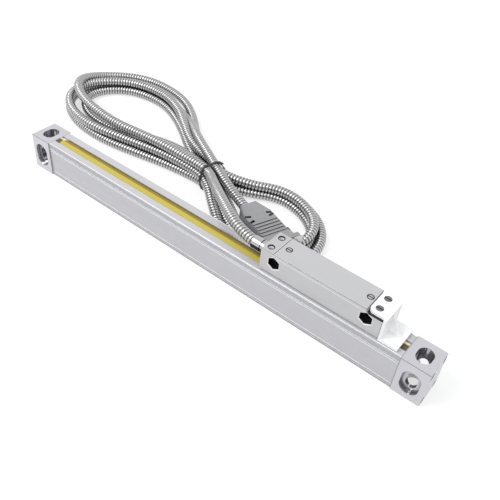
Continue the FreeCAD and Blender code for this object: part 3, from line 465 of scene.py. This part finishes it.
ferrule_finish = finish("plated_ferrule", (0.5, 0.5, 0.51), rough=(0.1, 0.2), metallic=1.0, tone=0.03,
                        tone_scale=300.0, grain_scale=4000.0, reach=3.0 * MM, darkest=0.02)
bearing_finish = finish("ground_bearing", (0.6, 0.6, 0.62), rough=(0.12, 0.22), metallic=1.0, tone=0.05,
                        tone_scale=600.0, grain_scale=5000.0)
casting_finish = finish("die_casting", (0.42, 0.42, 0.43), rough=(0.45, 0.6), metallic=0.8, tone=0.1,
                        tone_scale=300.0, grain_scale=1600.0, grain_depth=0.05 * MM)
spring_finish = finish("rolled_spring_steel", (0.42, 0.42, 0.44), rough=(0.25, 0.38), metallic=1.0,
                       tone_scale=300.0, grain_scale=5000.0, stretch=DRAWN)
bracket_finish = finish("white_moulding", (0.985, 0.985, 0.985), rough=(0.3, 0.42), tone=0.01,
                        tone_scale=120.0, grain_scale=1800.0, reach=0.6 * MM, darkest=0.9)
tie_finish = finish("black_tie", (0.012, 0.012, 0.012), rough=(0.35, 0.5), tone=0.3, tone_scale=300.0)
hood_finish = finish("grey_hood", (0.31, 0.31, 0.32), rough=(0.42, 0.55), metallic=0.3, tone=0.05,
                     tone_scale=160.0, grain_scale=2200.0, grain_depth=0.04 * MM, reach=1.8 * MM,
                     darkest=0.02)
tin_finish = finish("tin_plate", (0.6, 0.6, 0.59), rough=(0.2, 0.32), metallic=1.0, tone=0.05,
                    tone_scale=300.0, grain_scale=4000.0)
insert_finish = finish("black_insert", (0.02, 0.02, 0.022), rough=(0.4, 0.55), tone=0.2, tone_scale=300.0)
contact_finish = finish("plated_contact", (0.75, 0.53, 0.2), rough=(0.2, 0.32), metallic=1.0, tone=0.05,
                        tone_scale=500.0, grain_scale=4000.0)
thumb_finish = finish("nickel_thumb_screw", (0.46, 0.46, 0.47), rough=(0.18, 0.3), metallic=1.0, tone=0.05,
                      tone_scale=300.0, grain_scale=4000.0, reach=1.0 * MM, darkest=0.05)
board_finish = finish("green_board", (0.02, 0.16, 0.05), rough=(0.3, 0.42), tone=0.12, tone_scale=500.0)
armour_finish = finish("wound_armour", (0.55, 0.55, 0.555), rough=(0.24, 0.36), metallic=1.0, tone=0.08,
                       tone_scale=500.0, grain_scale=4000.0, reach=3.0 * MM, darkest=0.6)
glass_finish = glass("scale_glass")

# Second colours of a finish on parts of a piece, many of them painted light and shade
# All places are in millimetres, and a band is its distance from the middle and its half width


def mask_on(material, group, within=1.0, coordinate="Object", **values):
    """Mask of a group over the surface of a finish, kept within another mask where one is given."""
    tree = material.node_tree
    place = tree.nodes.new("ShaderNodeTexCoord").outputs[coordinate]
    return placed(tree, group, Place=place, Within=within, **values)


def near(material, axis, band, within=1.0):
    """Mask in a band, given by its distance and half width, on either side of the middle of an axis."""
    distance, half = band
    return mask_on(material, PLANES, within, Axis=axis, Distance=distance * MM, Half=half * MM)


def above(material, axis, limit, within=1.0):
    """Mask where a coordinate is above a limit."""
    return mask_on(material, PAST, within, Axis=axis, Limit=limit * MM)


def below(material, axis, limit, within=1.0):
    """Mask where a coordinate is below a limit."""
    return mask_on(material, PAST, within, Axis=[-part for part in axis], Limit=-limit * MM)


def circles(material, middle, offset, radius, within=1.0):
    """Mask inside two upright circles."""
    return mask_on(material, CIRCLES, within, Middle=Vector(middle) * MM, Offset=Vector(offset) * MM,
                   Radius=radius * MM)


def second_colour(material, colour, where, matt=False):
    """Give a finish a second drifting colour where a mask is 1, without the metal's gloss if it is matt."""
    tree = material.node_tree
    shader = tree.nodes["Principled BSDF"].inputs
    first = shader["Base Color"].links[0].from_socket
    paint = placed(tree, TONE, Colour=(*colour, 1.0), Amount=0.08, Scale=200.0)
    tree.links.new(placed(tree, SECOND, Colour=first, Second=paint, Mask=where), shader["Base Color"])
    if matt:
        metallic = shader["Metallic"]
        before = metallic.links[0].from_socket if metallic.is_linked else metallic.default_value
        tree.links.new(placed(tree, DULL, Metallic=before, Mask=where), metallic)


def polished(material, roughness, where):
    """Give a finish a mirror polish where a mask is 1."""
    tree = material.node_tree
    socket = tree.nodes["Principled BSDF"].inputs["Roughness"]
    before = socket.links[0].from_socket
    tree.links.new(mixed(tree, MIX_NUMBERS, where, before, roughness), socket)


def detail_housing(metal):
    """Panel, outer bands, matt lands, painted highlights on grooves and land edges, painted shade on top
    corners.
    """
    face = (9.5, 0.01)
    panel = (9.25, 0.04)
    groove = (8.95, 0.25)
    groove_lip = (9.37, 0.18)
    top_corner = (9.3, 0.19)
    top_land = (6.8, 2.3)
    land_highlight_edge = (8.85, 0.22)
    lighter_levels = [(21.7, 0.4), (2.4, 0.6)]
    lip_highlight_levels = [(22.05, 0.24), (20.25, 0.24)]
    groove_top = 24.5
    corner_foot = 25.62
    land_foot = 25.95
    pale = (0.86, 0.86, 0.87)
    on_face = near(metal, Y, face)
    second_colour(metal, (0.535, 0.533, 0.56), near(metal, Y, panel))
    second_colour(metal, (0.45, 0.45, 0.47), on_face)
    for level in lighter_levels:
        second_colour(metal, (0.5, 0.5, 0.52), near(metal, Z, level, on_face))
    # Painted highlights along the lower lips of the front grooves
    for level in lip_highlight_levels:
        lip = near(metal, Z, level, near(metal, Y, groove_lip))
        second_colour(metal, (0.97, 0.97, 0.98), lip, matt=True)
    # Pale painted light inside the front grooves, in place of their shade
    second_colour(metal, pale, below(metal, Z, groove_top, near(metal, Y, groove)), matt=True)
    # Painted shade on the rounded top corners, which dims their highlight
    second_colour(metal, (0.38, 0.38, 0.395), above(metal, Z, corner_foot, near(metal, Y, top_corner)))
    lands = above(metal, Z, land_foot, near(metal, Y, top_land))
    second_colour(metal, (0.49, 0.487, 0.51), lands, matt=True)
    # Painted highlight along the front edge of each top land
    second_colour(metal, pale, near(metal, Y, land_highlight_edge, lands))


def detail_blocks(metal):
    """Mirror-polished slots, and a painted dark reflection along the front top edge of the end blocks."""
    slot_along = (147.25, 8.5)
    slot_across = (0.0, 9.8)
    slot_up = (13.0, 12.8)
    mirror = 0.06
    front_edge = -9.7
    top_edge = 25.7
    inside = near(metal, Y, slot_across, near(metal, Z, slot_up))
    polished(metal, mirror, near(metal, X, slot_along, inside))
    # Painted dark reflection along the front top edge
    second_colour(metal, (0.31, 0.31, 0.32), below(metal, Y, front_edge, above(metal, Z, top_edge)))


def detail_cover(metal, screw_metal):
    """Painted shade along the edge of the cover, and a painted dark ring round the top of each of its screws.
    """
    edge = (41.865, 0.1)
    screw_middle = (83.4, 1.75, 0.0)
    screw_offset = (26.4, 0.0, 0.0)
    top_radius = 1.5
    # Painted shade on the cover's edge, in place of its highlight
    second_colour(metal, (0.1, 0.1, 0.105), near(metal, Z, edge))
    # Painted shade in a ring round the top of each cover screw
    on_top = circles(screw_metal, screw_middle, screw_offset, top_radius)
    second_colour(screw_metal, (0.1, 0.1, 0.1), number_step(screw_metal.node_tree, "SUBTRACT", 1.0, on_top))


def detail_lips(front_rubber, rear_rubber):
    """Pale front of the yellow lip, painted shade on its ends, and the pale ends of the rear lip."""
    front = (4.1, 0.7)
    front_ends = (136.5, 2.0)
    rear_ends = (135.7, 2.5)
    second_colour(front_rubber, (0.43, 0.37, 0.18), near(front_rubber, Y, front))
    # Painted shade on the ends of the yellow lip, where the slot opens
    second_colour(front_rubber, (0.085, 0.07, 0.02), near(front_rubber, X, front_ends))
    second_colour(rear_rubber, (0.75, 0.7, 0.55), near(rear_rubber, X, rear_ends))


def detail_cable_ends(screw_metal, ferrule_metal):
    """Painted shade on the thumb screws' tips, as a share of their length, and a painted dark reflection
    under the ferrule.
    """
    tip_share = 0.16
    ferrule_shade = 36.1
    # Painted shade on the tips of the thumb screws
    tips = mask_on(screw_metal, PAST, coordinate="Generated", Axis=(-1.0, 0.0, 0.0), Limit=-tip_share)
    second_colour(screw_metal, (0.015, 0.015, 0.015), tips)
    # Painted dark reflection on the ferrule's underside
    second_colour(ferrule_metal, (0.02, 0.02, 0.02), below(ferrule_metal, Z, ferrule_shade))


def detail_armour(metal):
    """Painted shade in the grooves between the turns of the wound strip."""
    groove = metal.node_tree.nodes.new("ShaderNodeAttribute")
    groove.attribute_name = "groove"
    second_colour(metal, (0.045, 0.045, 0.046), groove.outputs["Fac"])


def nut_pockets(metal, low, high, within):
    """Mask in a six-sided band round either nut pocket of the head, between two distances to the flats."""
    middle = Vector((83.4, 0.0, 35.2)) * MM
    offset = Vector((30.0, 0.0, 0.0)) * MM
    return mask_on(metal, HEXAGONS, within, Middle=middle, Offset=offset, Distance=(low + high) / 2 * MM,
                   Half=(high - low) / 2 * MM)


def detail_head(metal):
    """Reading head's underside, pad edge, shaded end, nut pockets and pad holes, all in painted light and
    shade.
    """
    underside = 26.65
    pad_front = -7.1
    pad_edge = 41.6
    shaded_end = 113.1
    shaded_level = 39.4
    pocket_size = 3.62
    rim_size = 4.2
    rim_front = -6.8
    pocket_floor = -3.5
    hole_middle = (48.1, 1.75, 0.0)
    hole_offset = (0.0, 5.0, 0.0)
    ring_radius = 2.2
    hole_radius = 1.75
    hole_top = 41.3
    # Pale underside, as painted light in the gap below the head
    second_colour(metal, (0.95, 0.95, 0.95), below(metal, Z, underside), matt=True)
    # Painted shade on the pad's front top edge, in place of its highlight
    second_colour(metal, (0.2, 0.2, 0.21), below(metal, Y, pad_front, above(metal, Z, pad_edge)))
    # Painted shadow on the end under the bracket's lip
    second_colour(metal, (0.03, 0.03, 0.03), above(metal, X, shaded_end, above(metal, Z, shaded_level)))
    # Painted highlights round the mouths of the nut pockets
    rims = nut_pockets(metal, pocket_size, rim_size, below(metal, Y, rim_front))
    second_colour(metal, (0.75, 0.75, 0.76), rims)
    # Painted shade inside the nut pockets
    pockets = nut_pockets(metal, 0.0, pocket_size, below(metal, Y, pocket_floor))
    second_colour(metal, (0.03, 0.03, 0.032), pockets)
    # Painted shade in a ring round each pad hole
    second_colour(metal, (0.02, 0.02, 0.02), circles(metal, hole_middle, hole_offset, ring_radius))
    # Painted highlights on the walls of the pad holes
    walls = circles(metal, hole_middle, hole_offset, hole_radius, below(metal, Z, hole_top))
    second_colour(metal, (0.97, 0.97, 0.97), walls, matt=True)


solid_finishes = {
    housing_finish: ["housing_extrusion"],
    block_finish: ["left_end_block", "right_end_block"],
    head_finish: ["head_body"],
    cover_finish: ["head_cover"],
    gasket_finish: ["left_end_gasket", "right_end_gasket", "glass_bedding"],
    seam_finish: ["cover_gasket"],
    steel_finish: ["end_screws", "blade_screws", "roller_pins"],
    cover_screw_finish: ["cover_screws"],
    dark_screw_finish: ["bracket_screws"],
    ferrule_finish: ["cable_ferrule"],
    bearing_finish: ["face_roller_left", "face_roller_middle", "face_roller_right", "edge_roller_left",
                     "edge_roller_right"],
    casting_finish: ["carriage_frame"],
    spring_finish: ["coupling_blade"],
    bracket_finish: ["transport_bracket"],
    hood_finish: ["hood_top_shell", "hood_bottom_shell"],
    tin_finish: ["connector_shell", "cable_clamp"],
    insert_finish: ["connector_insulator"],
    contact_finish: ["connector_pins"],
    thumb_finish: ["near_thumb_screw", "far_thumb_screw"],
    board_finish: ["head_circuit_board", "lamp_board", "sensor_board"],
    glass_finish: ["glass_scale", "index_grating"],
    front_lip_finish: ["front_lip_seal"],
    rear_lip_finish: ["rear_lip_seal"],
    tie_finish: ["cable_tie"],
    armour_finish: ["head_lead", "plug_lead", "cable_coil"],
}


def dress_solids():
    """Give every solid its finish."""
    for material, names in solid_finishes.items():
        for name in names:
            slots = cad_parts[name].data.materials
            slots.clear()
            slots.append(material)


# Cable

CABLE_DIAMETER = 0.007
CABLE_RADIUS = CABLE_DIAMETER / 2
head_lead_points = [
    (0.0335, 0.0006, 0.0350), (0.0200, 0.0033, 0.0351), (0.0060, 0.0110, 0.0346), (-0.0105, 0.0233, 0.0303),
    (-0.0255, 0.0358, 0.0242), (-0.0365, 0.0456, 0.0192), (-0.0440, 0.0522, 0.0166),
]
plug_lead_points = [
    (-0.0424, 0.0594, 0.0166), (-0.0293, 0.0526, 0.0158), (-0.0155, 0.0464, 0.0149),
    (-0.0015, 0.0410, 0.0144),
]
tie_middle = Vector((-0.0470, 0.0595, 0.0))
tie_heading = math.radians(-12.0)
# Outermost strand of each loop in millimetres, in the order in which the cable runs
left_outline = [
    (-72, 54), (-92, 51.5), (-114, 47), (-137, 43), (-160, 42.5), (-182, 47), (-201, 57), (-213, 71),
    (-217, 89), (-213, 107), (-201, 123.5), (-182, 132.5), (-160, 133.5), (-138, 129), (-118, 118),
    (-99, 104.5), (-80, 88.5),
]
right_outline = [
    (-20.5, 76), (-8.5, 82.5), (5.5, 85.5), (21.5, 82.5), (37, 74), (47.5, 60.5), (51, 43), (46, 25),
    (30.5, 14.5), (10.5, 15.5), (-8, 22.5), (-25, 33.5),
]
# Each turn: (outline station, inset from the outermost strand, height of the strand's middle)
left_turns = [
    [(0, 1.5, 16.4), (1, 4.1, 16.6), (2, 8.2, 15.5), (3, 9.5, 15.5), (4, 11, 16.3), (5, 10.7, 17),
     (6, 9.3, 17), (7, 7.6, 16.6), (8, 4.5, 12.6), (9, 0.5, 7), (10, -1.8, 4.2), (11, -2, 3.8),
     (13, -0.8, 3.8), (14, 0.8, 3.8), (15, 3.5, 3.8), (16, 4.5, 3.8)],
    [(0, 1.2, 10.2), (1, 2.8, 9.9), (2, 4.2, 9.2), (3, 3, 9.6), (4, 0, 10.4), (5, -0.6, 10.5), (6, 1, 10.5),
     (7, 6, 10.4), (8, 12.2, 10.2), (9, 17, 10.1), (10, 19.6, 10), (11, 18.8, 10), (12, 16, 9.9),
     (14, 12, 10), (15, 12.6, 10.3), (16, 10.8, 10)],
    [(0, 12.5, 9), (1, 18.5, 7), (2, 20.5, 5), (3, 17.4, 4), (4, 14.4, 3.8), (5, 12.8, 3.8), (6, 13.2, 3.8),
     (7, 14.9, 3.8), (8, 17.4, 3.8), (9, 20.4, 3.8), (10, 22.6, 3.8), (11, 22, 3.8), (14, 15, 3.8),
     (16, 12, 3.8)],
    [(0, 0.3, 3.8), (5, 0, 3.8), (6, 0.6, 3.8), (7, 3, 3.8), (8, 7.8, 3.8), (9, 12.4, 3.8), (10, 15.6, 3.8),
     (11, 15.2, 3.8), (14, 8, 4.2), (15, 6.5, 9.6), (16, 6, 14.5)],
]
right_turns = [
    [(0, 0, 4.2), (1, 0, 3.8), (9, 0, 3.8), (10, 0, 4.4), (11, 0.5, 7.4)],
    [(0, 5.6, 9.9), (3, 5, 9.8), (4, 5.2, 9.8), (5, 6.8, 9.8), (6, 9.6, 8.6), (7, 14, 4.6), (8, 15, 3.9),
     (9, 14, 3.8), (10, 13, 3.8), (11, 12, 6.5)],
    [(0, 7.6, 4.2), (1, 7, 3.8), (6, 7, 3.8), (7, 7.6, 3.8), (8, 7.6, 3.8), (10, 7.2, 3.8), (11, 6.5, 3.9)],
]
# Places of the strands in the tie, across and up, and how each sort of strand bends there, along and across
lead_in_place = (-5.6, 16.6)
to_right_places = [(7.6, 4.4), (6.0, 10.4), (0.4, 4.4)]
to_left_places = [(-6.2, 10.3), (0.9, 10.4), (-5.0, 4.4)]
lead_in_bend = [(-5.0, 0.0)]
to_right_bend = [(-14.0, 2.2), (0.0, 0.0), (12.0, 3.0)]
to_left_bend = [(0.0, 0.0)]


def tie_directions():
    """Along the strands in the tie, and across them."""
    ahead = Vector((math.cos(tie_heading), math.sin(tie_heading), 0.0))
    return ahead, Vector((-ahead.y, ahead.x, 0.0))


def at_tie(along, across, height):
    """Point given in millimetres in the tie's own directions: along the strands, across them, and up."""
    ahead, aside = tie_directions()
    return tie_middle + (ahead * along + aside * across + Vector((0.0, 0.0, height))) * MM


def pass_tie(place, bend):
    """Points of one strand through the tie, at its own place and with its sort of bend."""
    across, height = place
    return [at_tie(along, across + aside, height) for along, aside in bend]


def between_stations(stations, step):
    """Inset and height at an outline point, from the stations on either side of it."""
    for (low, *before), (high, *after) in zip(stations, stations[1:]):
        if low <= step <= high:
            share = (step - low) / (high - low)
            return [a + (b - a) * share for a, b in zip(before, after)]
    return stations[-1][1:]


def loop_turn(outline, stations):
    """One turn of a loop: the outline moved inwards and up, station by station."""
    points = []
    last = len(outline) - 1
    for step, (x, y) in enumerate(outline):
        x0, y0 = outline[max(step - 1, 0)]
        x1, y1 = outline[min(step + 1, last)]
        inward = Vector((y1 - y0, x0 - x1, 0.0)).normalized()
        inset, height = between_stations(stations, step)
        points.append((Vector((x, y, height)) + inward * inset) * MM)
    return points


def cable_route():
    """Control points of the whole cable: head lead, turns of the figure of eight, plug lead."""
    points = [Vector(point) for point in head_lead_points]
    points += pass_tie(lead_in_place, lead_in_bend)
    for turn, right_turn in enumerate(right_turns):
        points += loop_turn(left_outline, left_turns[turn])
        points += pass_tie(to_right_places[turn], to_right_bend)
        points += loop_turn(right_outline, right_turn)
        points += pass_tie(to_left_places[turn], to_left_bend)
    points += loop_turn(left_outline, left_turns[-1])
    points += [Vector(point) for point in plug_lead_points]
    return points


def smooth_line(name, points, resolution):
    """Points along a smooth spline that has the route's points as its control points."""
    curve = bpy.data.curves.new(name, "CURVE")
    curve.dimensions = "3D"
    spline = curve.splines.new("NURBS")
    spline.points.add(len(points) - 1)
    for control, point in zip(spline.points, points):
        control.co = (*point, 1.0)
    spline.order_u = 3
    spline.use_endpoint_u = True
    spline.resolution_u = resolution
    holder = bpy.data.objects.new(name, curve)
    mesh = bpy.data.meshes.new_from_object(holder)
    line = [vertex.co.copy() for vertex in mesh.vertices]
    bpy.data.objects.remove(holder)
    bpy.data.meshes.remove(mesh)
    bpy.data.curves.remove(curve)
    return line


def even_steps(line, step):
    """Points at even distances along a line, its two ends included."""
    spans = [(b - a).length for a, b in zip(line, line[1:])]
    total = sum(spans)
    count = max(2, round(total / step))
    places = []
    index = 0
    passed = 0.0
    for number in range(count + 1):
        target = total * number / count
        while index < len(spans) - 1 and passed + spans[index] < target:
            passed += spans[index]
            index += 1
        share = (target - passed) / spans[index] if spans[index] else 0.0
        places.append(line[index].lerp(line[index + 1], min(max(share, 0.0), 1.0)))
    return places


def carried_frames(places):
    """Two directions across the line at each point, carried along it without twist."""
    frames = []
    side = Vector(Z)
    for number in range(len(places)):
        ahead = (places[min(number + 1, len(places) - 1)] - places[max(number - 1, 0)]).normalized()
        side = (side - ahead * side.dot(ahead)).normalized()
        frames.append((side, ahead.cross(side)))
    return frames


def tube_faces(rings, sides, joined=False):
    """Faces of a tube whose rings turn anticlockwise round its line, with end faces or joined to a loop."""
    def corner(ring, step):
        return ring % rings * sides + step % sides

    faces = [(corner(ring, step), corner(ring, step + 1), corner(ring + 1, step + 1), corner(ring + 1, step))
             for ring in range(rings if joined else rings - 1) for step in range(sides)]
    if not joined:
        faces.append(tuple(reversed(range(sides))))
        faces.append(tuple(range((rings - 1) * sides, rings * sides)))
    return faces


def new_piece(name, corners, faces, material, body, smooth=True):
    """Mesh piece that rides on a body, with the given finish in its material slot."""
    mesh = bpy.data.meshes.new(name)
    mesh.from_pydata(corners, [], faces)
    mesh.polygons.foreach_set("use_smooth", [smooth] * len(mesh.polygons))
    mesh.materials.append(material)
    mesh.validate()
    piece = bpy.data.objects.new(name, mesh)
    scene.collection.objects.link(piece)
    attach(piece, body)
    return piece


def armoured_cable(line):
    """Cable with a helically wound strip round it, as one closed tube along a line."""
    strip_pitch = 0.0024
    rings_per_turn = 8
    sides = 16
    groove_depth = 0.00065
    groove_from = 0.5
    groove_steepness = 1.5
    shade_from = 0.4
    crown = 0.00012
    places = even_steps(line, strip_pitch / rings_per_turn)
    corners = []
    grooves = []
    for number, (place, (side, other)) in enumerate(zip(places, carried_frames(places))):
        for step in range(sides):
            turn = step / sides
            phase = (number / rings_per_turn + turn) % 1.0
            edge = abs(2.0 * phase - 1.0)
            depth = max(0.0, (edge - groove_from) / (1.0 - groove_from)) ** groove_steepness
            radius = CABLE_RADIUS - groove_depth * depth - crown * edge ** 2
            angle = turn * math.tau
            corners.append(place + (side * math.cos(angle) + other * math.sin(angle)) * radius)
            # Share of painted groove shade at each corner, read by the armour's finish
            grooves.append(max(0.0, (edge - shade_from) / (1.0 - shade_from)))
    faces = tube_faces(len(places), sides)
    cable = new_piece("armoured_cable", corners, faces, armour_finish, "reading_head")
    groove_shade_layer = cable.data.attributes.new("groove", "FLOAT", "POINT")
    groove_shade_layer.data.foreach_set("value", grooves)
    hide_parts("head_lead", "plug_lead", "cable_coil")


# Tie and lips


def hull(points):
    """Corners of the convex outline round flat points, anticlockwise."""
    points = sorted(set(points))

    def chain(ordered):
        kept = []
        for point in ordered:
            while len(kept) > 1:
                (ax, ay), (bx, by) = kept[-2:]
                if (bx - ax) * (point[1] - ay) - (by - ay) * (point[0] - ax) > 0:
                    break
                kept.pop()
            kept.append(point)
        return kept[:-1]

    return chain(points) + chain(points[::-1])


def strands_in_tie(line):
    """Across and height, in millimetres, of every strand where the cable passes through the tie."""
    ahead, aside = tie_directions()
    reach = 0.02
    strands = []
    for a, b in zip(line, line[1:]):
        start = (a - tie_middle).dot(ahead)
        end = (b - tie_middle).dot(ahead)
        if start * end <= 0.0 and start != end:
            place = a.lerp(b, start / (start - end)) - tie_middle
            if abs(place.dot(aside)) < reach:
                strands.append((place.dot(aside) / MM, place.z / MM))
    return strands


def cable_tie(line):
    """Strap drawn tight round the strands, with a short tail, in millimetres."""
    half_width = 0.9
    strap = 0.6
    slack = 0.1
    rim_points = 24
    tail_sides = (3.0, 4.8)
    tail_line = [(0.0, 19.9), (2.6, 20.8), (5.6, 21.0)]
    reach = CABLE_RADIUS / MM + slack
    rim = []
    for across, height in strands_in_tie(line):
        for step in range(rim_points):
            angle = math.tau * step / rim_points
            beside = across + reach * math.cos(angle)
            up = height + reach * math.sin(angle)
            rim.append((round(beside, 4), round(up, 4)))
    inner = hull(rim)
    corners = []
    for number, near_side in enumerate(inner):
        (ax, ay), (bx, by) = inner[number - 1], inner[(number + 1) % len(inner)]
        far_side = Vector(near_side) + Vector((by - ay, ax - bx)).normalized() * strap
        corners += [at_tie(-half_width, *near_side), at_tie(half_width, *near_side),
                    at_tie(half_width, *far_side), at_tie(-half_width, *far_side)]
    faces = tube_faces(len(inner), 4, joined=True)
    first = len(corners)
    low, high = tail_sides
    for along, height in tail_line:
        corners += [at_tie(along, low, height), at_tie(along, high, height),
                    at_tie(along, high, height + strap), at_tie(along, low, height + strap)]
    faces += [tuple(first + corner for corner in face) for face in tube_faces(len(tail_line), 4)]
    piece = new_piece("cable_tie_strap", corners, faces, tie_finish, "reading_head",
                      smooth=False)
    bevel = piece.modifiers.new("round_edges", "BEVEL")
    bevel.width = 0.00025
    bevel.segments = 2
    bevel.limit_method = "ANGLE"
    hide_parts("cable_tie")


def lip_strip(name, side, slot_edge, material, replaced):
    """Rubber lip, in millimetres: bead in the housing's channel, and a flap that arches up to the slit."""
    overhang = 0.1
    bead_width = 1.2
    slit_half = 0.12
    root = slot_edge - side * overhang
    bead = slot_edge + side * bead_width
    tip = side * slit_half
    bead_foot = 23.5
    root_under = 23.9
    root_top = 24.8
    under_rise = 1.75
    top_rise = 1.45
    flap_steps = 8
    end = 137.9
    spans = 60
    top = []
    under = []
    for step in range(flap_steps + 1):
        share = step / flap_steps
        y = root - (root - tip) * share
        rise = math.sin(share * math.pi / 2)
        top.append((y, root_top + top_rise * rise))
        under.append((y, root_under + under_rise * rise))
    section = [(bead, bead_foot)] + under + top[::-1] + [(bead, root_top)]
    if side > 0:
        section.reverse()
    stations = [-end + 2 * end * number / spans for number in range(spans + 1)]
    corners = [Vector((x, y, z)) * MM for x in stations for y, z in section]
    faces = tube_faces(len(stations), len(section))
    piece = new_piece(name, corners, faces, material, "scale", smooth=False)
    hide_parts(replaced)


photo_camera()
studio_world(dome_strength=0.92)
floor(glow=0.66, paint=0.36)
soft_lamp("key_lamp", place=(-0.45, -0.55, 0.95), aim=(0.0, 0.03, 0.0), size=0.5, watts=7.0)
detail_housing(housing_finish)
detail_blocks(block_finish)
detail_cover(cover_finish, cover_screw_finish)
detail_lips(front_lip_finish, rear_lip_finish)
detail_cable_ends(thumb_finish, ferrule_finish)
detail_armour(armour_finish)
detail_head(head_finish)
dress_solids()
cable_line = smooth_line("cable_line", cable_route(), resolution=16)
armoured_cable(cable_line)
cable_tie(cable_line)
lip_strip("front_lip_strip", side=-1, slot_edge=-4.25, material=front_lip_finish, replaced="front_lip_seal")
lip_strip("rear_lip_strip", side=1, slot_edge=3.25, material=rear_lip_finish, replaced="rear_lip_seal")
